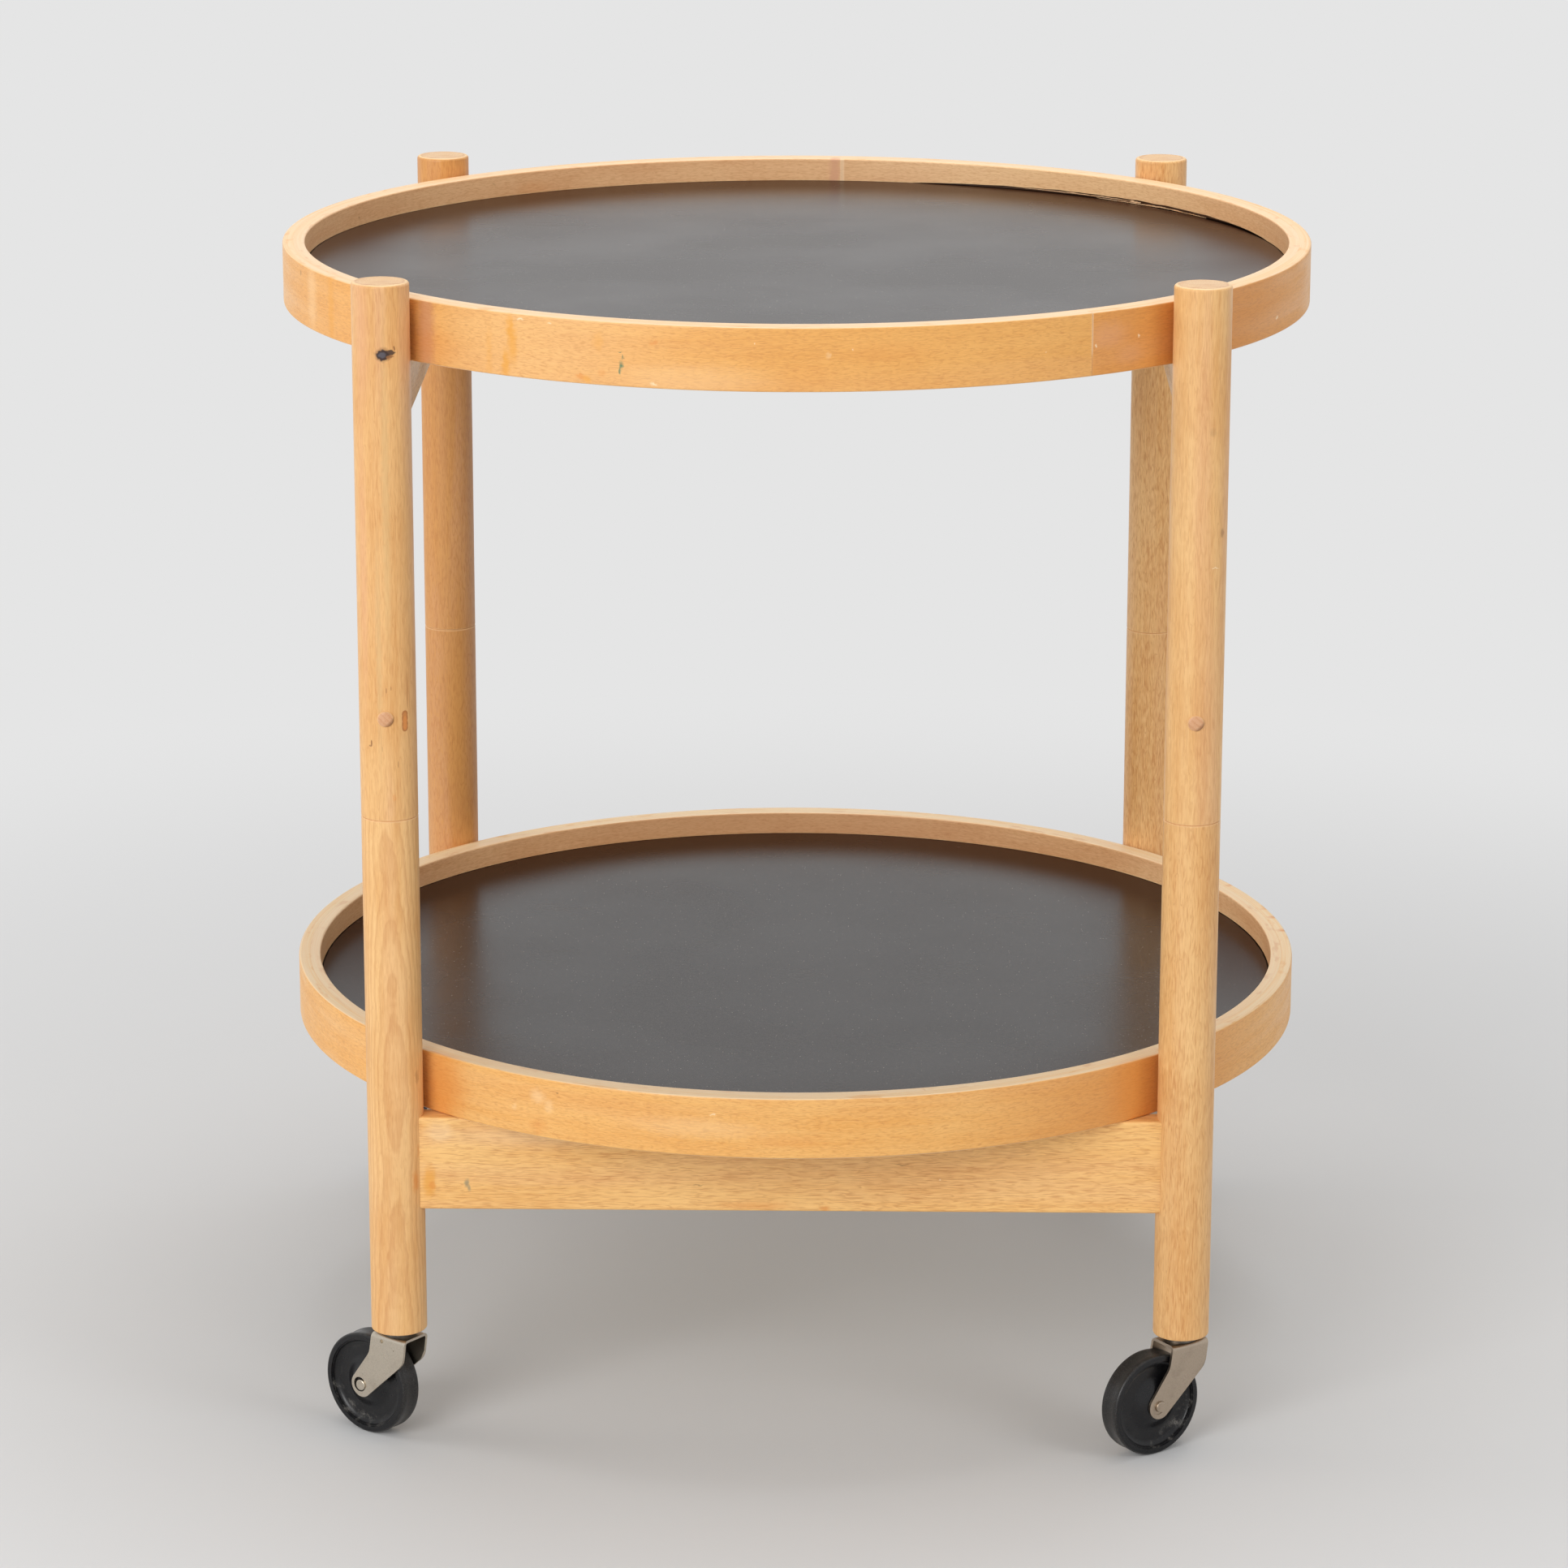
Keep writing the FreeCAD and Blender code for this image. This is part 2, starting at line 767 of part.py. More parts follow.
def fork_side_outline(name):
    """Side view of the fork: flat top, raked arms, an end round the axle."""
    body = new_body(name + "_side")
    sketch = new_sketch(body, name + "_side_view", "XZ_Plane")
    front = -half(size("fork_plate_length"))
    rear = half(size("fork_plate_length"))
    end_radius = half(size("fork_end_diameter"))
    axle = (size("fork_trail"), -size("fork_drop"))
    shoulder = (rear + size("fork_shoulder_out"), -size("fork_shoulder_drop"))
    knee = (front + size("fork_knee_in"), -size("fork_knee_drop"))
    fixed = [(front, ORIGIN), (rear, ORIGIN), shoulder, knee]
    flat = [FreeCAD.Vector(across.value, up.value, 0) for across, up in fixed]
    centre = FreeCAD.Vector(axle[0].value, axle[1].value, 0)
    drop = end_radius.value * CORNER_SHARE
    high_touch = centre + FreeCAD.Vector(drop, drop, 0)
    low_touch = centre + FreeCAD.Vector(-drop, -drop, 0)
    circle = Part.Circle(centre, UPWARD, end_radius.value)
    arc_start = math.radians(HALF_TURN + QUARTER_TURN * HALF)
    arc_end = math.radians(FULL_TURN + QUARTER_TURN * HALF)
    path = [
        Part.LineSegment(flat[0], flat[1]),
        Part.LineSegment(flat[1], flat[2]),
        Part.LineSegment(flat[2], high_touch),
        Part.ArcOfCircle(circle, arc_start, arc_end),
        Part.LineSegment(low_touch, flat[3]),
        Part.LineSegment(flat[3], flat[0]),
    ]
    top, back, high, nose, low, lead = [sketch.addGeometry(edge, False) for edge in path]
    join_points(sketch, "Coincident", (top, "end"), (back, "start"))
    join_points(sketch, "Coincident", (back, "end"), (high, "start"))
    join_points(sketch, "Coincident", (low, "end"), (lead, "start"))
    join_points(sketch, "Coincident", (lead, "end"), (top, "start"))
    pin_point(sketch, (top, "start"), *fixed[0])
    pin_point(sketch, (back, "start"), *fixed[1])
    pin_point(sketch, (high, "start"), *shoulder)
    pin_point(sketch, (lead, "start"), *knee)
    pin_point(sketch, (nose, "centre"), *axle)
    set_radius(sketch, nose, end_radius)
    join_points(sketch, "Tangent", (high, "end"), (nose, "end"))
    join_points(sketch, "Tangent", (nose, "start"), (low, "start"))
    slab = pad(body, name + "_side_slab", sketch, size("fork_width") * DOUBLE)

    def bent_corner(edge):
        box = edge.BoundBox
        straight = near(box.XLength, 0) and near(box.ZLength, 0)
        at_shoulder = near(box.XMin, shoulder[0].value) and near(box.ZMin, shoulder[1].value)
        at_knee = near(box.XMin, knee[0].value) and near(box.ZMin, knee[1].value)
        return straight and (at_shoulder or at_knee)

    soften(body, "Fillet", slab, bent_corner, size("fork_corner_round"))
    return body


def fork_channel(name):
    """The bent sheet seen end on: a plate with two arms turned down."""
    body = new_body(name + "_channel")
    sketch = new_sketch(body, name + "_end_view", "YZ_Plane")
    outer = fork_half_width
    inner = fork_half_width - size("fork_sheet")
    foot = -(size("fork_drop") * DOUBLE)
    under = -size("fork_sheet")
    draw_lines(sketch, [
        (-outer, foot),
        (-inner, foot),
        (-inner, under),
        (inner, under),
        (inner, foot),
        (outer, foot),
        (outer, ORIGIN),
        (-outer, ORIGIN),
    ])
    bar = pad(body, name + "_bar", sketch, size("fork_trail") * DOUBLE * DOUBLE)

    def outer_bend(edge):
        box = edge.BoundBox
        along = near(box.YLength, 0) and near(box.ZLength, 0)
        return along and near(box.ZMin, 0) and near(abs(box.YMin), outer.value)

    def inner_bend(edge):
        box = edge.BoundBox
        along = near(box.YLength, 0) and near(box.ZLength, 0)
        return along and near(box.ZMin, under.value) and near(abs(box.YMin), inner.value)

    outside = soften(body, "Fillet", bar, outer_bend, size("fork_bend") + size("fork_sheet"))
    soften(body, "Fillet", outside, inner_bend, size("fork_bend"))
    return body


def fork_bore(name, radius, centre, along_axle):
    """Straight bore through the plate, or through both arms."""
    bore = doc.addObject("Part::Cylinder", name)
    span = size("fork_width") * DOUBLE
    across, up = centre
    bind(bore, "Radius", radius)
    bind(bore, "Height", span)
    if along_axle:
        start = FreeCAD.Vector(across.value, span.value * HALF, up.value)
        bore.Placement = FreeCAD.Placement(start, FreeCAD.Rotation(ACROSS, QUARTER_TURN))
        bore.setExpression(".Placement.Base.y", half(span).formula)
    else:
        start = FreeCAD.Vector(across.value, 0, up.value)
        bore.Placement = FreeCAD.Placement(start, FreeCAD.Rotation())
    bore.setExpression(".Placement.Base.x", across.formula)
    bore.setExpression(".Placement.Base.z", up.formula)
    return bore


def caster_fork(side, end, turn):
    name = "caster_fork_" + corner_name(side, end)
    sheet_metal = doc.addObject("Part::Common", name + "_sheet_metal")
    sheet_metal.Base = fork_side_outline(name)
    sheet_metal.Tool = fork_channel(name)
    relief_radius = half(size("axle_relief_diameter"))
    relief_shift = relief_radius - axle_radius
    axle_level = -size("fork_drop")
    bores = doc.addObject("Part::Compound", name + "_bores")
    bores.Links = [
        fork_bore(name + "_stem_bore", stem_radius, (ORIGIN, -size("fork_width")), False),
        fork_bore(name + "_axle_bore", relief_radius,
                  (size("fork_trail") + relief_shift, axle_level), True),
    ]
    fork = doc.addObject("Part::Cut", name)
    fork.Base = sheet_metal
    fork.Tool = bores
    at_corner(fork, side, end, fork_top, turn)
    keep(name, fork)
    doc.recompute()


def caster_axle(side, end, turn):
    """Rivet through both arms; the wheel turns on it."""
    name = "caster_axle_" + corner_name(side, end)
    body = new_body(name)
    half_length = fork_half_width + size("axle_head_proud")
    pin = revolve(body, name, [
        (ORIGIN, -half_length),
        (axle_radius, -half_length),
        (axle_radius, half_length),
        (ORIGIN, half_length),
    ], plane="XY_Plane")

    def rivet_edge(edge):
        box = edge.BoundBox
        return near(box.YLength, 0) and near(abs(box.YMin), half_length.value)

    soften(body, "Fillet", pin, rivet_edge, size("axle_head_round"))
    at_axle(body, side, end, turn)
    keep(name, body)


def at_axle(piece, side, end, turn):
    """Seat a piece at the axle, behind the stem in the trail direction."""
    trail_text = "Sizes.fork_trail * "
    heading = "(" + str(turn) + ")"
    spin = FreeCAD.Rotation(UPWARD, turn)
    offset = spin.multVec(ACROSS * size("fork_trail").value)
    across = leg_offset * side
    depth = leg_offset * end
    where = FreeCAD.Vector(across.value + offset.x, depth.value + offset.y, axle_height.value)
    piece.Placement = FreeCAD.Placement(where, spin)
    piece.setExpression(".Placement.Base.x", across.formula + " + " + trail_text + "cos" + heading)
    piece.setExpression(".Placement.Base.y", depth.formula + " + " + trail_text + "sin" + heading)
    piece.setExpression(".Placement.Base.z", axle_height.formula)


def caster_wheel(side, end, turn):
    """Moulded wheel: flat rim bands, dished flanks and a raised hub."""
    name = "caster_wheel_" + corner_name(side, end)
    body = new_body(name)
    bore = axle_radius + size("axle_play")
    hub = half(size("hub_diameter"))
    hub_foot = half(size("hub_foot_diameter"))
    rim = half(size("wheel_diameter"))
    band = rim - size("wheel_rim_band")
    rim_half = half(size("wheel_width"))
    hub_half = fork_half_width - size("fork_sheet") - size("hub_side_play")
    step_half = rim_half - size("wheel_dish_depth")
    dish_half = step_half - size("wheel_dish_slope")
    groove_half = half(size("tread_groove_width"))
    groove_floor = rim - size("tread_groove_depth")
    flank = [
        (bore, hub_half),
        (hub, hub_half),
        (hub_foot, dish_half),
        (band - size("wheel_ledge") * DOUBLE, step_half),
        (band, rim_half - size("wheel_ledge")),
        (band + half(size("wheel_ledge")), rim_half),
        (rim - size("wheel_edge_round"), rim_half),
        (rim, rim_half - size("wheel_edge_round")),
        (rim, groove_half),
        (groove_floor, groove_half - size("tread_groove_depth")),
    ]
    mirrored = [(across, -up) for across, up in reversed(flank)]
    revolve(body, name, flank + mirrored, plane="XY_Plane")
    at_axle(body, side, end, turn)
    keep(name, body)


def caster(side, end):
    turn = CASTER_TRAIL_ANGLES[corner_name(side, end)]
    caster_socket(side, end)
    caster_stem(side, end, turn)
    caster_race(side, end, turn)
    caster_fork(side, end, turn)
    caster_axle(side, end, turn)
    caster_wheel(side, end, turn)


# Whole trolley

def build():
    fill_sheet()
    for side, end in CORNERS:
        lower_leg(side, end)
        pivot_dowel(side, end)
        upper_leg(side, end)
        pivot_peg(side, end)
        caster(side, end)
    rails()
    tray("lower", lower_tray_base)
    tray("top", top_tray_base)
    doc.recompute()


def check_objects():
    for item in doc.Objects:
        if "Invalid" in item.State or "Error" in item.State:
            raise RuntimeError(item.Label + " did not build: " + str(item.State))
    for name, piece in NODES.items():
        if piece.Shape.isNull() or not piece.Shape.isValid():
            raise RuntimeError(name + " has no valid shape")


def export():
    os.makedirs("parts", exist_ok=True)
    for name, piece in NODES.items():
        piece.Shape.exportStep("parts/" + name + ".step")


build()
check_objects()
export()
print("nodes", len(NODES))
print(f"leg spacing {leg_offset.value * DOUBLE:.2f}")
print(f"height {leg_top.value:.2f}")
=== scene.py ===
import json
import math

import bmesh
import bpy
from bpy.props import FloatProperty, FloatVectorProperty, IntProperty, PointerProperty
from mathutils import Matrix, Vector, noise


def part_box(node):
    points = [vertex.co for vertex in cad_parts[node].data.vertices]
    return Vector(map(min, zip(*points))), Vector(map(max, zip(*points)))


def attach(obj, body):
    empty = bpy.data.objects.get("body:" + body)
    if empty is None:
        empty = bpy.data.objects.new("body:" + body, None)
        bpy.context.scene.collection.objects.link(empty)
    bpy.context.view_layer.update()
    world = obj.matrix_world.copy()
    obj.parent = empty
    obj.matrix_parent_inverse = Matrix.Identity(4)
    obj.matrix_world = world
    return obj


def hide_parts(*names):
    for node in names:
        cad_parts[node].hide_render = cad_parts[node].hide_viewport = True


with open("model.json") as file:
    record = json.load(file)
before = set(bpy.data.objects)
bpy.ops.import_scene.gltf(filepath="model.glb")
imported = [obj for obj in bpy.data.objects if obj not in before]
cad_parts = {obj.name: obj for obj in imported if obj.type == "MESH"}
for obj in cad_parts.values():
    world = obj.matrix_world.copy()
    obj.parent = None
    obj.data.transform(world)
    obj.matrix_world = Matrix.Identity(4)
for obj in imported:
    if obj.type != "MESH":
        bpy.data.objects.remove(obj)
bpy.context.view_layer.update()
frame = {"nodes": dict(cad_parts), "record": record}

bl_info = {
    "name": "Serving Trolley",
    "version": (1, 0, 0),
    "blender": (4, 5, 0),
    "location": "3D View > Sidebar > Trolley",
    "description": "Finishes a round-tray serving trolley round its packed frame",
    "category": "Object",
}

MM = 0.001
NODES = frame["nodes"]
CORNERS = ("front_left", "front_right", "rear_left", "rear_right")
RAILS = ("front_rail", "rear_rail", "left_rail", "right_rail")
LEVELS = ("top", "lower")
WORN_HOOP = "top_tray_inner_hoop"
UPRIGHT = Vector((0, 0, 1))
FULL_TURN = 2 * math.pi
JOINTS = {joint["name"]: joint for joint in frame["record"]["behaviour"]["joints"]}


def paint(red, green, blue):
    """Colour as read off a swatch, 0 to 255, turned into light."""
    bend, toe, slope, share, power = 0.04045, 12.92, 1.055, 0.055, 2.4
    light = []
    for part in (red / 255, green / 255, blue / 255):
        light.append(part / toe if part <= bend else ((part + share) / slope) ** power)
    return tuple(light)


def solid(color):
    """Colour as a node's socket takes it."""
    return (*color, 1)


def blend(first, second, share):
    """Colour part of the way from the first to the second."""
    return tuple(one * (1 - share) + other * share for one, other in zip(first, second))


def even(waves):
    """The same number of waves a metre along each axis."""
    return (waves, waves, waves)


# Settings that a user may change

def colour_setting(name, description, default):
    """Colour that a user may change."""
    return FloatVectorProperty(name=name, description=description, subtype="COLOR",
                               size=3, min=0, max=1, default=default)


def length_setting(name, description, default):
    """Length that a user may change."""
    return FloatProperty(name=name, description=description, unit="LENGTH",
                         precision=5, default=default)


def angle_setting(name, description, degrees):
    """Angle that a user may change, given in degrees."""
    return FloatProperty(name=name, description=description, subtype="ANGLE",
                         default=math.radians(degrees))


class TrolleyWoodSettings(bpy.types.PropertyGroup):
    leg_light: colour_setting("Leg light", "Pale streaks of the legs", paint(242, 198, 137))
    leg_deep: colour_setting("Leg deep", "Deep streaks of the legs", paint(225, 170, 105))
    rail_light: colour_setting("Rail light", "Pale streaks of the rails", paint(250, 202, 130))
    rail_deep: colour_setting("Rail deep", "Deep streaks of the rails", paint(239, 183, 109))
    blush: colour_setting("Blush", "Pinkish streaks of the beech", paint(226, 176, 138))
    fleck: colour_setting("Fleck", "Short ray flecks of the beech", paint(190, 122, 64))
    end_grain: colour_setting("End grain", "Sawn ends of the legs", paint(232, 196, 150))
    peg: colour_setting("Peg", "Domed ends of the pivot pegs", paint(218, 170, 132))
    # Painted shade in the open groove under the top tray's worn lip
    groove_shade: colour_setting("Groove shade", "Dirt in joints and knots", paint(92, 60, 38))
    split_sink: length_setting("Split sink", "Depth of the line between two leg halves", 0.5 * MM)


class TrolleyTraySettings(bpy.types.PropertyGroup):
    layer: length_setting("Layer", "Thickness of one bent hoop", 6.5 * MM)
    edge_round: length_setting("Edge round", "Rounding of the rim's edges", 1.2 * MM)
    seam_round: length_setting("Seam round", "Rounding along the glue line", 0.1 * MM)
    groove_depth: length_setting("Groove depth", "Depth of the board's groove", 4 * MM)
    joint_gap: length_setting("Joint gap", "Open width of a butt joint", 0.06 * MM)
    lip_lift: length_setting("Lip lift", "Gap under the worn lip of the top tray", 2.5 * MM)
    lip_start: angle_setting("Lip start", "Heading where the worn lip starts", 13)
    lip_end: angle_setting("Lip end", "Heading where the worn lip ends", 76)
    outer_joint_top: angle_setting("Outer joint, top", "Butt joint, top outer hoop", 303)
    outer_joint_lower: angle_setting("Outer joint, lower", "Butt joint, lower outer hoop", 112)
    inner_joint_top: angle_setting("Inner joint, top", "Butt joint, top inner hoop", 85)
    inner_joint_lower: angle_setting("Inner joint, lower", "Butt joint, lower inner hoop", 285)
    ring_steps: IntProperty(name="Ring steps", description="Steps round a hoop",
                            min=32, default=288)
    lip_steps: IntProperty(name="Lip steps", description="Steps round the worn lip's hoop",
                           min=32, default=1440)
    round_steps: IntProperty(name="Round steps", description="Steps in an edge's rounding",
                             min=1, default=4)
    outer_light: colour_setting("Outer light", "Pale tone of the outer hoops", paint(244, 190, 114))
    outer_deep: colour_setting("Outer deep", "Amber tone of the outer hoops", paint(234, 170, 90))
    inner_light: colour_setting("Inner light", "Pale tone of the inner hoops", paint(243, 197, 146))
    inner_deep: colour_setting("Inner deep", "Pink tone of the inner hoops", paint(224, 169, 118))
    # Worn upper edges of the rims, also painted paler as a highlight from above
    rim_edge: colour_setting("Rim edge", "Rubbed upper edges", paint(246, 212, 170))
    laminate: colour_setting("Laminate", "Dark face of the boards", paint(38, 33, 32))
    # Painted reflection of the hoop on the dark face beside the rim
    laminate_rim_reflection: colour_setting("Rim reflection", "Dark face beside the rim", paint(62, 38, 24))
    pale_laminate: colour_setting("Pale laminate", "Other face of the boards", paint(216, 208, 192))
    core: colour_setting("Core", "Sawn edge of the boards", paint(176, 134, 92))


class TrolleyCasterSettings(bpy.types.PropertyGroup):
    nickel: colour_setting("Nickel", "Plating of the front left fork", paint(208, 198, 182))
    dull_nickel: colour_setting("Dull nickel", "Plating of the other forks", paint(186, 170, 152))
    tarnish: colour_setting("Tarnish", "Worn and stained plating", paint(128, 112, 94))
    zinc: colour_setting("Zinc", "Stems and races", paint(120, 114, 106))
    rubber: colour_setting("Wheel", "Moulded wheels", paint(13, 13, 16))
    dust: colour_setting("Dust", "Dust and scuffs on the wheels", paint(128, 124, 118))
    bore: length_setting("Bore", "Radius of the wheel's bore", 3.5 * MM)
    hub: length_setting("Hub", "Radius of the hub's face", 6 * MM)
    hub_foot: length_setting("Hub foot", "Radius where the hub runs out", 17 * MM)
    dish_floor: length_setting("Dish floor", "Half thickness of the wheel's web", 3.2 * MM)
    dish_wall: length_setting("Dish wall", "Radius where the dish turns up to the rim", 21.5 * MM)
    ledge: length_setting("Ledge", "Radius of the ledge inside the rim band", 25.6 * MM)
    ledge_drop: length_setting("Ledge drop", "Ledge below the rim band", 0.9 * MM)
    rim_half: length_setting("Rim half width", "Half the width of the rim", 7 * MM)
    rim_round: length_setting("Rim round", "Rounding of the tread's edges", 1.6 * MM)
    tread_hollow: length_setting("Tread hollow", "Depth of the hollow round the tread", 0.4 * MM)
    relief: length_setting("Relief", "Radius of the pressed relief beside the axle", 4.38 * MM)
    relief_shift: length_setting("Relief shift", "Relief's middle beyond the axle", 1.2 * MM)
    relief_bore: length_setting("Relief bore", "Inner radius of the pressed relief", 3.25 * MM)
    relief_sink: length_setting("Relief sink", "Depth of the pressed relief", 0.3 * MM)
    turn_steps: IntProperty(name="Turn steps", description="Steps round a wheel",
                            min=24, default=144)


class TrolleyStageSettings(bpy.types.PropertyGroup):
    floor: colour_setting("Floor", "Plain floor under the trolley", paint(213, 213, 213))
    wall: colour_setting("Background", "Pale background", paint(229, 229, 229))
    world_light: FloatProperty(name="World light", description="Strength of the even light",
                               min=0, default=0.57)
    key_power: FloatProperty(name="Key power", description="Large lamp at the front",
                             unit="POWER", min=0, default=52)
    side_power: FloatProperty(name="Side power", description="Large lamp at the left",
                              unit="POWER", min=0, default=18)
    top_power: FloatProperty(name="Top power", description="Lamp overhead",
                             unit="POWER", min=0, default=25)
    fill_power: FloatProperty(name="Fill power", description="Lamp at the front right",
                              unit="POWER", min=0, default=17)
    lens_pixels: FloatProperty(name="Focal length in pixels",
                               description="Focal length in pixels of the whole photograph",
                               default=6654.8)
    camera_place: FloatVectorProperty(name="Camera place", description="Where the camera stands",
                                      subtype="XYZ", unit="LENGTH", size=3,
                                      default=(0.0416, -3.1341, 1.1939))
    camera_turn: angle_setting("Camera turn", "Heading, counter-clockwise from the rear", 0.89)
    camera_dip: angle_setting("Camera dip", "How far the camera looks down", 15.39)
    camera_roll: angle_setting("Camera roll", "Roll about the line of sight", 0.07)


SETTINGS = {
    "trolley_wood": TrolleyWoodSettings,
    "trolley_trays": TrolleyTraySettings,
    "trolley_casters": TrolleyCasterSettings,
    "trolley_stage": TrolleyStageSettings,
}


# Node trees in a few words

# Sockets of a Mix node that mixes colours
MIX_SHARE, MIX_FIRST, MIX_SECOND = 0, 6, 7
MIX_RESULT = 2

# A scattered dot: where it starts to fade, how softly the dots are chosen, and the faintest
DOT_CORE = 0.45
DOT_CHOICE = 0.04
DOT_FAINTEST = 0.4

# Levels of a noise between which clouds form
CLOUDY = (0.3, 0.7)


class Board:
    """Adds and joins the nodes of one tree."""

    def __init__(self, tree):
        self.tree = tree

    def feed(self, socket, value):
        """Links a socket to another, or gives it a plain value."""
        if isinstance(value, bpy.types.NodeSocket):
            self.tree.links.new(value, socket)
        else:
            socket.default_value = value

    def add(self, kind, sockets=None, **settings):
        """New node with its settings made and its sockets fed."""
        made = self.tree.nodes.new(kind)
        for name, value in settings.items():
            setattr(made, name, value)
        for name, value in (sockets or {}).items():
            self.feed(made.inputs[name], value)
        return made

    def math(self, operation, *values):
        """Result of one sum on numbers."""
        made = self.add("ShaderNodeMath", operation=operation)
        for socket, value in zip(made.inputs, values):
            self.feed(socket, value)
        return made.outputs[0]

    def vector(self, operation, *values):
        """Result of one sum on vectors, which is a number for a length or a dot product."""
        made = self.add("ShaderNodeVectorMath", operation=operation)
        for socket, value in zip(made.inputs, values):
            self.feed(socket, value)
        return made.outputs["Value" if operation in ("LENGTH", "DOT_PRODUCT") else "Vector"]

    def combine(self, x, y, z):
        """Vector made of three numbers."""
        return self.add("ShaderNodeCombineXYZ", {"X": x, "Y": y, "Z": z}).outputs[0]

    def separate(self, vector):
        """Three numbers of a vector."""
        return self.add("ShaderNodeSeparateXYZ", {"Vector": vector}).outputs

    def rise(self, value, low, high, start=0.0, end=1.0):
        """Smooth step of a value between two levels."""
        sockets = {"Value": value, "From Min": low, "From Max": high,
                   "To Min": start, "To Max": end}
        return self.add("ShaderNodeMapRange", sockets, interpolation_type="SMOOTHSTEP").outputs[0]

    def noise(self, place, scales, detail=2.0, roughness=0.5):
        """Noise with its own number of waves a metre along each axis."""
        scaled = self.vector("MULTIPLY", place, scales)
        sockets = {"Vector": scaled, "Scale": 1, "Detail": detail, "Roughness": roughness}
        return self.add("ShaderNodeTexNoise", sockets).outputs["Fac"]

    def cells(self, place, scales):
        """Distance to the nearest of scattered points, and that point's own random colour."""
        scaled = self.vector("MULTIPLY", place, scales)
        return self.add("ShaderNodeTexVoronoi", {"Vector": scaled, "Scale": 1}).outputs

    def scattered(self, place, scales, radius, share):
        """Soft dots or dashes, one in each cell, in a share of the cells."""
        near = self.cells(place, scales)
        chance, strength, unused = self.separate(near["Color"])
        body = self.rise(near["Distance"], radius * DOT_CORE, radius, 1, 0)
        chosen = self.rise(chance, 1 - share, 1 + DOT_CHOICE - share)
        worth = self.rise(strength, 0, 1, DOT_FAINTEST, 1)
        return self.math("MULTIPLY", self.math("MULTIPLY", body, chosen), worth)

    def ragged(self, place, scales, reach):
        """Place moved about at random, so that a mark laid on it gets an uneven edge."""
        scaled = self.vector("MULTIPLY", place, scales)
        wild = self.add("ShaderNodeTexNoise", {"Vector": scaled, "Scale": 1}).outputs["Color"]
        centred = self.vector("SUBTRACT", wild, even(0.5))
        return self.vector("ADD", place, self.vector("MULTIPLY", centred, reach))

    def mix(self, share, first, second):
        """Colour between two colours."""
        made = self.add("ShaderNodeMix", data_type="RGBA")
        self.feed(made.inputs[MIX_SHARE], share)
        self.feed(made.inputs[MIX_FIRST], first)
        self.feed(made.inputs[MIX_SECOND], second)
        return made.outputs[MIX_RESULT]

    def from_axis(self, place):
        """Distance from the upright axis through the origin."""
        x, y, unused = self.separate(place)
        return self.vector("LENGTH", self.combine(x, y, 0.0))

    def spot(self, place, centre, radii, core):
        """1 in the core of an ellipsoid, fading to 0 at its edge."""
        apart = self.vector("SUBTRACT", place, centre)
        near = self.vector("LENGTH", self.vector("DIVIDE", apart, radii))
        return self.rise(near, core, 1, 1, 0)


def new_group(name, inputs, outputs):
    """Shader group with its sockets; returns the board, the input and the output node."""
    tree = bpy.data.node_groups.new(name, "ShaderNodeTree")
    for socket, kind in inputs.items():
        tree.interface.new_socket(socket, in_out="INPUT", socket_type="NodeSocket" + kind)
    for socket, kind in outputs.items():
        tree.interface.new_socket(socket, in_out="OUTPUT", socket_type="NodeSocket" + kind)
    board = Board(tree)
    return board, board.add("NodeGroupInput").outputs, board.add("NodeGroupOutput").inputs


def new_material(name):
    """Material with an empty shader; returns it, its board and the shader."""
    material = bpy.data.materials.new(name)
    material.use_nodes = True
    material.node_tree.nodes.clear()
    board = Board(material.node_tree)
    shader = board.add("ShaderNodeBsdfPrincipled")
    output = board.add("ShaderNodeOutputMaterial")
    board.feed(output.inputs["Surface"], shader.outputs[0])
    return material, board, shader


def object_place(board):
    """Place in metres; every piece lies at the origin."""
    return board.add("ShaderNodeTexCoord").outputs["Object"]


def turned(board, x, y, turn):
    """Place along a heading, and square to it."""
    ahead = board.math("ADD", board.math("MULTIPLY", x, math.cos(turn)),
                       board.math("MULTIPLY", y, math.sin(turn)))
    aside = board.math("SUBTRACT", board.math("MULTIPLY", y, math.cos(turn)),
                       board.math("MULTIPLY", x, math.sin(turn)))
    return ahead, aside


def bump(board, shader, height, depth):
    """Relief too fine for the mesh."""
    made = board.add("ShaderNodeBump", {"Strength": 1, "Distance": depth, "Height": height})
    board.feed(shader.inputs["Normal"], made.outputs[0])


# Beech: streaks, growth rings, fibres and ray flecks along the grain

# Waves a metre along and across the grain
PATCH_WAVES = (14, 30, 30)
STREAK_WAVES = (5, 110, 110)
THREAD_WAVES = (24, 700, 700)
BLUSH_WAVES = (3, 65, 65)
WANDER_WAVES = (9, 20, 20)
CROWD_WAVES = (20, 50, 50)
FIBRE_WAVES = (70, 2600, 2600)

# Dashes a metre along and across the grain
COARSE_FLECKS = (110, 820, 820)
HOOP_FLECKS = (240, 980, 980)
MIDDLE_FLECKS = (170, 760, 760)
FINE_FLECKS = (125, 800, 800)

# How the fibres waver: waves a metre, detail, and reach
SWAYS = (
    ((6, 22, 22), 1, 5 * MM),
    ((50, 45, 45), 1, 1.6 * MM),
    ((250, 150, 150), 0, 0.5 * MM),
)

PATCH_SHARE = 0.4
STREAK_SHARE = 0.4
THREAD_SHARE = 0.2
PALE_TONE, DEEP_TONE = 0.34, 0.66

RINGS_A_METRE = 400
RING_WANDER = 14 * MM
RING_TILT = 0.02
RING_DARKENS, RING_ENDS = 0.3, 0.88

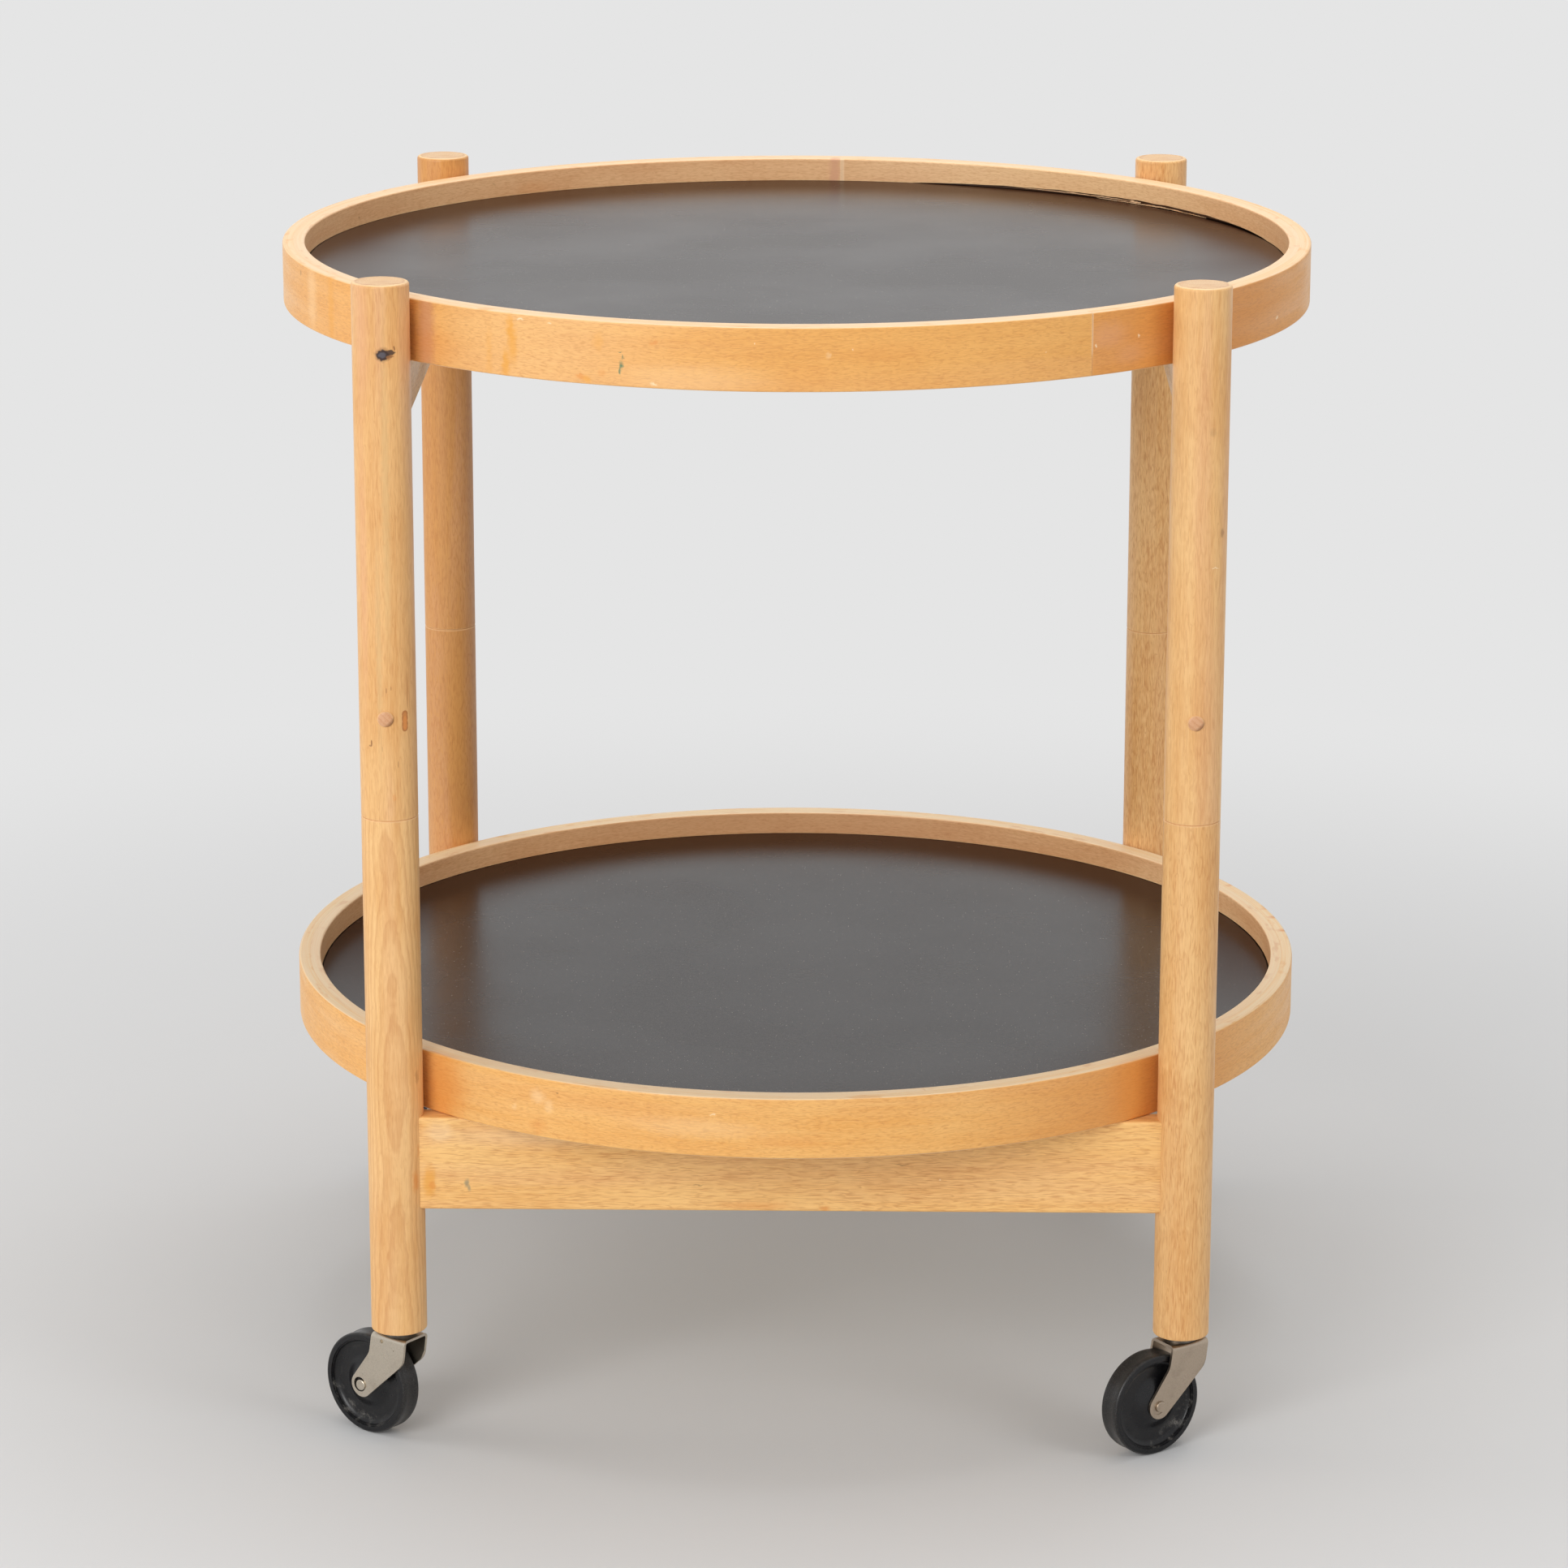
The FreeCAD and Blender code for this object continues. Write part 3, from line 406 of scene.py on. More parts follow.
# Dashes and lines beside the fleck size, where a second lot lies, and how strong each is
SLIM_DASHES = (1, 1.7, 1.7)
LONG_LINES = (0.55, 0.62, 0.62)
SECOND_DASHES = (0.71, 0.37, 0.53)
LINE_BREAKS = (0.31, 0.93, 0.27)
DASH_STRENGTH = 0.55
LINE_STRENGTH = 0.7
LINE_FADES, LINE_FULL = 0.08, 0.01

# Dashes: radius in their cell, and share of the cells that hold one
WIDE_DASHES = (0.52, 0.6)
NARROW_DASHES = (0.48, 0.5)

# Levels between which each noise takes hold, and the strengths that it goes between
CROWD_LEVELS = (0.3, 0.6, 0.55, 1)
BREAK_LEVELS = (0.36, 0.56)
BLUSH_LEVELS = (0.46, 0.62)
DARK_RIPPLES = (0.52, 0.84)
PALE_RIPPLES = (0.5, 0.22)
FIBRE_LEVELS = (0.3, 0.7, 0, 0.1)
DASH_HEIGHT, FIBRE_HEIGHT = -0.8, 0.35


def swayed_grain(board, grain):
    """Grain that wavers slowly, quickly and finely."""
    sway = 0.0
    for waves, detail, reach in SWAYS:
        centred = board.math("SUBTRACT", board.noise(grain, waves, detail), 0.5)
        sway = board.math("ADD", sway, board.math("MULTIPLY", centred, reach))
    return board.vector("ADD", grain, board.combine(0, sway, sway))


def wood_tone(board, grain, swayed):
    """0 in pale wood and 1 in deep wood, in patches, streaks and threads."""
    patch = board.noise(grain, PATCH_WAVES, 3)
    streak = board.noise(swayed, STREAK_WAVES, 3)
    thread = board.noise(swayed, THREAD_WAVES, 2)
    tone = board.math("ADD", board.math("MULTIPLY", patch, PATCH_SHARE),
                      board.math("MULTIPLY", streak, STREAK_SHARE))
    tone = board.math("ADD", tone, board.math("MULTIPLY", thread, THREAD_SHARE))
    return board.rise(tone, PALE_TONE, DEEP_TONE)


def late_wood(board, grain, swayed, ring_turn):
    """1 in the dark part of each growth ring."""
    along, across, through = board.separate(swayed)
    turned_across = board.math("MULTIPLY", across, board.math("COSINE", ring_turn))
    turned_through = board.math("MULTIPLY", through, board.math("SINE", ring_turn))
    depth = board.math("ADD", turned_across, turned_through)
    depth = board.math("ADD", depth, board.math("MULTIPLY", along, RING_TILT))
    wander = board.math("MULTIPLY", board.noise(grain, WANDER_WAVES, 2), RING_WANDER)
    ring = board.math("MULTIPLY", board.math("ADD", depth, wander), RINGS_A_METRE)
    ring = board.math("FRACT", ring)
    return board.math("MULTIPLY", board.rise(ring, RING_DARKENS, RING_ENDS),
                      board.rise(ring, RING_ENDS, 1, 1, 0))


def ray_dashes(board, grain, swayed, slim):
    """Separate dark dashes, crowded here and there."""
    crowd = board.rise(board.noise(grain, CROWD_WAVES, 1), *CROWD_LEVELS)
    beside = board.vector("ADD", swayed, SECOND_DASHES)
    dashes = board.math("MAXIMUM", board.scattered(swayed, slim, *WIDE_DASHES),
                        board.scattered(beside, slim, *NARROW_DASHES))
    return board.math("MULTIPLY", board.math("MULTIPLY", dashes, crowd), DASH_STRENGTH)


def ray_lines(board, swayed, fleck_size, slim):
    """Thin, wavy, broken lines, where a slow noise crosses its middle."""
    long_size = board.vector("MULTIPLY", fleck_size, LONG_LINES)
    off_middle = board.math("SUBTRACT", board.noise(swayed, long_size, 0), 0.5)
    off_middle = board.math("ABSOLUTE", off_middle)
    beside = board.vector("ADD", swayed, LINE_BREAKS)
    broken = board.rise(board.noise(beside, slim, 0), *BREAK_LEVELS)
    lines = board.math("MULTIPLY", board.rise(off_middle, LINE_FADES, LINE_FULL), broken)
    return board.math("MULTIPLY", lines, LINE_STRENGTH)


def beech_group():
    """X of Grain runs along the fibres, in metres; Y and Z run across them."""
    inputs = {"Grain": "Vector", "Light": "Color", "Deep": "Color", "Blush": "Color",
              "Fleck": "Color", "Flecks": "Float", "Fleck Size": "Vector", "Blushing": "Float",
              "Rings": "Float", "Ring Turn": "Float"}
    outputs = {"Color": "Color", "Height": "Float", "Tone": "Float"}
    board, given, made = new_group("Beech", inputs, outputs)
    grain = given["Grain"]
    swayed = swayed_grain(board, grain)
    tone = wood_tone(board, grain, swayed)
    color = board.mix(tone, given["Light"], given["Deep"])
    blush = board.rise(board.noise(swayed, BLUSH_WAVES, 1), *BLUSH_LEVELS)
    color = board.mix(board.math("MULTIPLY", blush, given["Blushing"]), color, given["Blush"])
    ring_share = board.math("MULTIPLY", late_wood(board, grain, swayed, given["Ring Turn"]),
                            given["Rings"])
    color = board.mix(ring_share, color, given["Fleck"])
    slim = board.vector("MULTIPLY", given["Fleck Size"], SLIM_DASHES)
    ripple = board.noise(swayed, slim, 0)
    flecks = board.math("MAXIMUM", ray_dashes(board, grain, swayed, slim),
                        board.rise(ripple, *DARK_RIPPLES))
    flecks = board.math("MAXIMUM", flecks, ray_lines(board, swayed, given["Fleck Size"], slim))
    flecks = board.math("MULTIPLY", flecks, given["Flecks"])
    pale = board.math("MULTIPLY", board.rise(ripple, *PALE_RIPPLES), given["Flecks"])
    color = board.mix(pale, color, given["Light"])
    color = board.mix(flecks, color, given["Fleck"])
    fibre = board.noise(swayed, FIBRE_WAVES, 1)
    color = board.mix(board.rise(fibre, *FIBRE_LEVELS), color, given["Fleck"])
    height = board.math("ADD", board.math("MULTIPLY", flecks, DASH_HEIGHT),
                        board.math("MULTIPLY", fibre, FIBRE_HEIGHT))
    board.feed(made["Color"], color)
    board.feed(made["Height"], height)
    board.feed(made["Tone"], tone)


def beech(board, grain, light, deep, wood, flecks=0.4, fleck_size=FINE_FLECKS, blushing=0.2,
          rings=0.1, ring_turn=0.0):
    """Beech of one piece; light and deep are sockets or solid colours."""
    sockets = {"Grain": grain, "Light": light, "Deep": deep,
               "Blush": solid(wood.blush), "Fleck": solid(wood.fleck),
               "Flecks": flecks, "Fleck Size": fleck_size, "Blushing": blushing,
               "Rings": rings, "Ring Turn": ring_turn}
    made = board.add("ShaderNodeGroup", node_tree=bpy.data.node_groups["Beech"])
    for name, value in sockets.items():
        board.feed(made.inputs[name], value)
    return made.outputs


# Between these shares of upright a face turns from side to end
LEG_END_FACING = (0.55, 0.95)
HOOP_EDGE_FACING = (0.45, 0.9)


def upward_share(board, low, high):
    """How far the surface faces up or down."""
    normal = board.add("ShaderNodeNewGeometry").outputs["Normal"]
    return board.rise(board.math("ABSOLUTE", board.separate(normal)[2]), low, high)


def lay_marks(board, place, color, marks):
    """Stains, knots and scuffs, and painted shadow and light: (centre, radii, colour, share, core).
    """
    for centre, radii, tint, share, core in marks:
        inside = board.math("MULTIPLY", board.spot(place, centre, radii, core), share)
        color = board.mix(inside, color, solid(tint))
    return color


LEG_ROUGHNESS = 0.42
RAIL_ROUGHNESS = 0.46
HOOP_ROUGHNESS = 0.4
PEG_ROUGHNESS = 0.4
RAW_ROUGHNESS = 0.6
PALE_SMOOTHER, DEEP_ROUGHER = 0.06, 0.08
WOOD_SHEEN = 0.42
WOOD_RELIEF = 0.06 * MM


def finish_wood(board, shader, color, grown, roughness):
    """Satin wood, a little rougher where it is deep in tone."""
    board.feed(shader.inputs["Base Color"], color)
    worn = board.rise(grown["Tone"], 0, 1, roughness - PALE_SMOOTHER, roughness + DEEP_ROUGHER)
    board.feed(shader.inputs["Roughness"], worn)
    shader.inputs["Specular IOR Level"].default_value = WOOD_SHEEN
    bump(board, shader, grown["Height"], WOOD_RELIEF)


# Colours of marks of use; a few of them also paint shadow, shade and light

KNOT_DARK = paint(60, 42, 36)
KNOT_CORE = paint(92, 88, 96)
KNOT_AND_SHADE_BROWN = paint(142, 94, 54)
OLIVE = paint(212, 176, 122)
AMBER = paint(222, 138, 58)
OCHRE = paint(230, 160, 62)
SLOT_BROWN = paint(184, 118, 62)
SLOT_AMBER = paint(214, 138, 70)
# Painted shadow of the front left leg on the top tray's rim
PAINTED_LEG_SHADOW = paint(200, 142, 100)
PINK = paint(222, 164, 128)
RUDDY = paint(206, 146, 102)
DEEP_AMBER = paint(222, 148, 74)
# Painted light where the front left leg meets the top tray's rim
STRAW = paint(250, 212, 160)
PAINTED_CONTACT_LIGHT = paint(255, 226, 184)
PALE_SCUFF_AND_HIGHLIGHT = paint(250, 226, 186)
GREEN_INK = paint(74, 118, 84)
GREY_INK = paint(138, 132, 106)


# Marks on a leg, in millimetres: middle (height, and across and back from the leg's axis), half
# sizes, colour, share, and the share of its reach that keeps its full strength
LEG_MARKS = {
    "upper_leg_front_left": (
        ((560, 2.5, -16), (130, 3.2, 8), OLIVE, 0.45, 0.2),
        ((470, -3, -16), (90, 2.4, 8), OLIVE, 0.4, 0.2),
        ((650, -9, -13), (60, 6, 8), PINK, 0.4, 0.1),
        ((520, -11, -12), (120, 4, 8), PINK, 0.4, 0.1),
        ((638.2, 2.4, -16), (4.6, 5.4, 8), KNOT_AND_SHADE_BROWN, 0.5, 0.7),
        ((638.0, 2.2, -16), (3.5, 3.9, 8), KNOT_DARK, 1, 0.78),
        ((639.4, 6.2, -15), (1.7, 3.4, 8), KNOT_DARK, 0.9, 0.7),
        ((637.0, 6, -15), (1.2, 2.6, 8), KNOT_AND_SHADE_BROWN, 0.9, 0.5),
        ((638.2, 2, -16), (2.1, 2.3, 8), KNOT_CORE, 0.75, 0.5),
        ((641.8, 8.6, -14), (1.3, 0.9, 5), KNOT_AND_SHADE_BROWN, 0.8, 0.4),
        ((427.4, 10.5, -12.1), (2.2, 1.7, 5), SLOT_BROWN, 1, 0.84),
        ((429.6, 10.5, -12.1), (3.4, 1.75, 5), SLOT_BROWN, 1, 0.84),
        ((433.2, 10.5, -12.1), (3.4, 1.75, 5), SLOT_BROWN, 1, 0.84),
        ((435.4, 10.5, -12.1), (2.2, 1.7, 5), SLOT_BROWN, 1, 0.84),
        ((428.4, 10.6, -12.1), (2.4, 1.1, 5), SLOT_AMBER, 1, 0.81),
        ((431.6, 10.6, -12.1), (2.9, 1.1, 5), SLOT_AMBER, 1, 0.81),
        ((434.6, 10.6, -12.1), (1.9, 1, 5), SLOT_AMBER, 0.6, 0.81),
        ((449, 12, -10.6), (12, 0.5, 4), SLOT_BROWN, 0.45, 0.82),
        ((449.6, 0.8, -16), (1.7, 0.35, 4), KNOT_AND_SHADE_BROWN, 0.5, 0.82),
        ((450.8, 3.4, -15.6), (1.3, 0.35, 4), KNOT_AND_SHADE_BROWN, 0.4, 0.82),
        ((419, -8.1, -13.8), (2, 0.5, 4), KNOT_AND_SHADE_BROWN, 0.8, 0.82),
        ((417.4, -8.8, -13.4), (0.6, 0.9, 4), KNOT_AND_SHADE_BROWN, 0.6, 0.82),
        ((416, -2, -15.9), (1.7, 0.3, 4), KNOT_AND_SHADE_BROWN, 0.3, 0.82),
        ((407, 6.6, -14.6), (2.2, 0.4, 4), KNOT_AND_SHADE_BROWN, 0.35, 0.82),
        ((388, 4.4, -15.4), (3, 1.6, 4), AMBER, 0.3, 0.3),
    ),
    "upper_leg_front_right": (
        ((597, 6, -14.5), (3.2, 2.6, 5), KNOT_AND_SHADE_BROWN, 0.25, 0.2),
        ((540, 12.6, -10), (3.4, 1.4, 5), KNOT_AND_SHADE_BROWN, 0.5, 0.2),
        ((521, 9, -13), (0.5, 3.2, 5), PALE_SCUFF_AND_HIGHLIGHT, 0.6, 0.3),
    ),
    "upper_leg_rear_right": (
        ((564, 13, -9), (0.9, 1, 5), PALE_SCUFF_AND_HIGHLIGHT, 0.9, 0.3),
    ),
    "lower_leg_front_left": (
        ((160, 11.8, -11), (9, 2.4, 8), AMBER, 0.6, 0.2),
        ((178, 14, -8), (6, 2, 8), AMBER, 0.4, 0.3),
        ((222, 13.4, -9), (5, 1.6, 8), KNOT_AND_SHADE_BROWN, 0.35, 0.2),
    ),
}

# A mark that keeps its strength further out than this has a clean edge
CRISP_CORE = 0.8


def in_metres(marks):
    """Marks with their middles and half sizes in metres."""
    return [(Vector(centre) * MM, Vector(radii) * MM, tint, share, core)
            for centre, radii, tint, share, core in marks]


# Marks on the front rail, in millimetres: middle (across, height, back), and then as on a leg
FRONT_RAIL_MARKS = (
    ((-183.6, 158.4, -232), (2.1, 3.8, 6), GREY_INK, 0.75, 0.2),
    ((-182.4, 155, -232), (1.7, 3, 6), GREY_INK, 0.65, 0.2),
    ((-205, 159, -232), (5, 13, 6), OCHRE, 0.75, 0.3),
    ((-203.5, 157, -232), (3, 4, 6), AMBER, 0.5, 0.3),
    ((-199, 189, -232), (11, 9, 6), PALE_SCUFF_AND_HIGHLIGHT, 0.25, 0.3),
    ((-20, 146, -232), (30, 4, 6), AMBER, 0.35, 0.1),
    ((20, 144.5, -232), (4.5, 2.4, 6), AMBER, 0.6, 0.1),
    ((-52, 158, -232), (5, 0.7, 6), KNOT_AND_SHADE_BROWN, 0.5, 0.2),
    ((64, 171, -232), (5, 0.6, 6), KNOT_AND_SHADE_BROWN, 0.5, 0.2),
    ((86, 162, -232), (0.9, 0.9, 6), PALE_SCUFF_AND_HIGHLIGHT, 0.6, 0.2),
    ((-150, 188, -232), (60, 12, 6), PALE_SCUFF_AND_HIGHLIGHT, 0.18, 0.1),
)

# How each leg is drawn: share of deep wood, flecks, their size, blush, rings, and their heading;
# the rear left halves are drawn deeper than the deep tone
LEG_CHARACTER = {
    "upper_leg_front_left": (0.3, 0.36, FINE_FLECKS, 0.4, 0.08, 20),
    "upper_leg_front_right": (0.04, 0.34, FINE_FLECKS, 0.35, 0.06, 70),
    "upper_leg_rear_left": (1.35, 0.55, MIDDLE_FLECKS, 0.30, 0.08, 40),
    "upper_leg_rear_right": (0.05, 0.6, MIDDLE_FLECKS, 0.15, 0.06, 10),
    "lower_leg_front_left": (0.04, 0.24, FINE_FLECKS, 0.15, 0.3, 95),
    "lower_leg_front_right": (0.14, 0.5, FINE_FLECKS, 0.05, 0.06, 30),
    "lower_leg_rear_left": (1.4, 0.55, MIDDLE_FLECKS, 0.25, 0.08, 80),
    "lower_leg_rear_right": (0, 0.6, MIDDLE_FLECKS, 0.15, 0.08, 50),
}


# Waves a metre across a leg's sawn end
PORE_WAVES = (1500, 1500, 0)
END_RING_WAVES = (60, 520, 0)
END_STAIN_WAVES = (75, 75, 0)
END_EDGE_WAVES = (260, 260, 0)
END_UNEVEN = 3 * MM

# Levels and strengths of what shows on the sawn end
PORE_LEVELS = (0.46, 0.66, 0, 0.5)
END_RING_LEVELS = (0.5, 0.64, 0, 0.42)
END_STAIN_LEVELS = (0.45, 0.7, 0, 0.3)
END_DARK_LINE = 0.3
RIDGE_HIGHLIGHT = 0.75

# Reach of the dark line and of the painted highlight at the edge, as shares of the leg's radius
LINE_SHARES = (0.86, 0.91, 0.93, 0.98)
RIDGE_HIGHLIGHT_SHARES = (0.95, 1.0)

# How far the grain of each leg lies from the next, as a multiple of the legs' own distance
LEG_GRAIN_SHIFT = 9
LEG_RAGS, LEG_RAG_REACH = 420, 2.6 * MM
# Painted light near the split, against the shade in the gap between a leg's two halves
SPLIT_LIGHT_NEAR, SPLIT_LIGHT_FAR, SPLIT_LIGHT = 0.3 * MM, 0.9 * MM, 0.3


def end_grain(board, across, depth, radius, wood):
    """Sawn end of a leg: pores, growth rings, stains, a dark line, and a painted highlight round
    its edge.
    """
    flat_place = board.combine(across, depth, 0.0)
    pore = board.noise(flat_place, PORE_WAVES, 2)
    ring = board.noise(flat_place, END_RING_WAVES, 2)
    stain = board.rise(board.noise(flat_place, END_STAIN_WAVES, 2), *END_STAIN_LEVELS)
    color = board.mix(board.rise(pore, *PORE_LEVELS), solid(wood.end_grain), solid(wood.fleck))
    color = board.mix(board.rise(ring, *END_RING_LEVELS), color, solid(wood.fleck))
    color = board.mix(stain, color, solid(blend(wood.end_grain, wood.fleck, 0.5)))
    uneven = board.math("MULTIPLY", board.noise(flat_place, END_EDGE_WAVES, 2), END_UNEVEN)
    reach = board.math("ADD", board.vector("LENGTH", flat_place), uneven)
    rises, full, fades, gone = [radius * share for share in LINE_SHARES]
    line = board.math("MULTIPLY", board.rise(reach, rises, full), board.rise(reach, gone, fades))
    color = board.mix(board.math("MULTIPLY", line, END_DARK_LINE), color, solid(wood.fleck))
    # Painted highlight: the ring round the sawn end is paler, as a lit raised edge looks
    starts, ends = [radius * share for share in RIDGE_HIGHLIGHT_SHARES]
    edge = board.rise(reach, starts, ends, 0, RIDGE_HIGHLIGHT)
    return board.mix(edge, color, solid(blend(wood.leg_light, PALE_SCUFF_AND_HIGHLIGHT, 0.4)))


def leg_material(node, wood):
    """Beech with its grain upright, sawn end grain, and painted light at the split that lightens
    the shade of the gap.
    """
    material, board, shader = new_material(node + "_beech")
    low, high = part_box(node)
    axis = (low + high) / 2
    deepening, flecks, fleck_size, blushing, rings, heading = LEG_CHARACTER[node]
    light = blend(wood.leg_light, wood.leg_deep, deepening)
    deep = blend(wood.leg_deep, wood.fleck, deepening * 0.4)
    x, y, z = board.separate(object_place(board))
    across = board.math("SUBTRACT", x, axis.x)
    depth = board.math("SUBTRACT", y, axis.y)
    own_place = board.combine(z, across, depth)
    grain = board.vector("ADD", own_place, Vector((axis.x, axis.y, 0)) * LEG_GRAIN_SHIFT)
    grown = beech(board, grain, solid(light), solid(deep), wood, flecks, fleck_size, blushing,
                  rings, math.radians(heading))
    end_color = end_grain(board, across, depth, (high.x - low.x) / 2, wood)
    color = board.mix(upward_share(board, *LEG_END_FACING), grown["Color"], end_color)
    split = low.z if node.startswith("upper") else high.z
    from_split = board.math("ABSOLUTE", board.math("SUBTRACT", z, split))
    # Painted light: the wood beside the split is lightened against the shade of the gap
    painted_light = board.rise(from_split, SPLIT_LIGHT_NEAR, SPLIT_LIGHT_FAR, SPLIT_LIGHT, 0)
    color = board.mix(painted_light, color, solid(wood.end_grain))
    torn_place = board.ragged(own_place, even(LEG_RAGS), (LEG_RAG_REACH, LEG_RAG_REACH, 0))
    marks = in_metres(LEG_MARKS.get(node, ()))
    soft = [mark for mark in marks if mark[-1] <= CRISP_CORE]
    crisp = [mark for mark in marks if mark[-1] > CRISP_CORE]
    color = lay_marks(board, torn_place, color, soft)
    color = lay_marks(board, own_place, color, crisp)
    finish_wood(board, shader, color, grown, LEG_ROUGHNESS)
    return material


RAIL_GRAIN_SHIFT = 7
RAIL_RAGS, RAIL_RAG_REACH = 300, 3 * MM


def rail_material(node, wood):
    """Beech with its grain along the rail, and the front rail's marks of use."""
    material, board, shader = new_material(node + "_beech")
    low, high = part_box(node)
    span = high - low
    x, y, z = board.separate(object_place(board))
    along, depth = (x, y) if span.x > span.y else (y, x)
    own_place = board.combine(along, z, depth)
    grain = board.vector("ADD", own_place, low * RAIL_GRAIN_SHIFT)
    grown = beech(board, grain, solid(wood.rail_light), solid(wood.rail_deep), wood,
                  flecks=0.56, fleck_size=COARSE_FLECKS, rings=0.04, ring_turn=0.3)
    color = grown["Color"]
    if node == "front_rail":
        torn_place = board.ragged(own_place, even(RAIL_RAGS), (RAIL_RAG_REACH, RAIL_RAG_REACH, 0))
        color = lay_marks(board, torn_place, color, in_metres(FRONT_RAIL_MARKS))
    finish_wood(board, shader, color, grown, RAIL_ROUGHNESS)
    return material


# Where a peg's end turns pale, and where painted shade darkens its lower right side, as shares of
# its radius
PEG_WORN_SHARE = 0.84
PEG_SHADE_SHARES = (0.55, 1.3)
PEG_PALE_EDGE, PEG_SHADE_SIDE = 0.6, 0.8


def peg_material(node, wood):
    """Peg with its grain across the leg, a worn edge and painted shade on its lower right side."""
    material, board, shader = new_material(node + "_beech")
    low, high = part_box(node)
    axis = (low + high) / 2
    radius = (high.x - low.x) / 2
    x, y, z = board.separate(object_place(board))
    grown = beech(board, board.combine(y, x, z), solid(wood.peg),
                  solid(blend(wood.peg, wood.fleck, 0.35)), wood,
                  flecks=0.25, rings=0.3, ring_turn=0.9)
    aside = board.math("SUBTRACT", x, axis.x)
    up = board.math("SUBTRACT", z, axis.z)
    reach = board.vector("LENGTH", board.combine(aside, 0, up))
    worn = board.rise(reach, radius * PEG_WORN_SHARE, radius, 0, PEG_PALE_EDGE)
    color = board.mix(worn, grown["Color"], solid(wood.leg_light))
    # Painted shade on the peg's lower right side
    starts, full = [radius * share for share in PEG_SHADE_SHARES]
    shaded_side = board.rise(board.math("SUBTRACT", aside, up), starts, full, 0, PEG_SHADE_SIDE)
    color = board.mix(shaded_side, color, solid(KNOT_AND_SHADE_BROWN))
    finish_wood(board, shader, color, grown, PEG_ROUGHNESS)
    return material


def raw_wood_material(name, light, deep, wood):
    """Raw wood of dowels, board cores, split lines and torn slivers."""
    material, board, shader = new_material(name)
    grown = beech(board, object_place(board), solid(light), solid(deep), wood,
                  flecks=0.5, ring_turn=0.5)
    finish_wood(board, shader, grown["Color"], grown, RAW_ROUGHNESS)
    return material


# Hoops

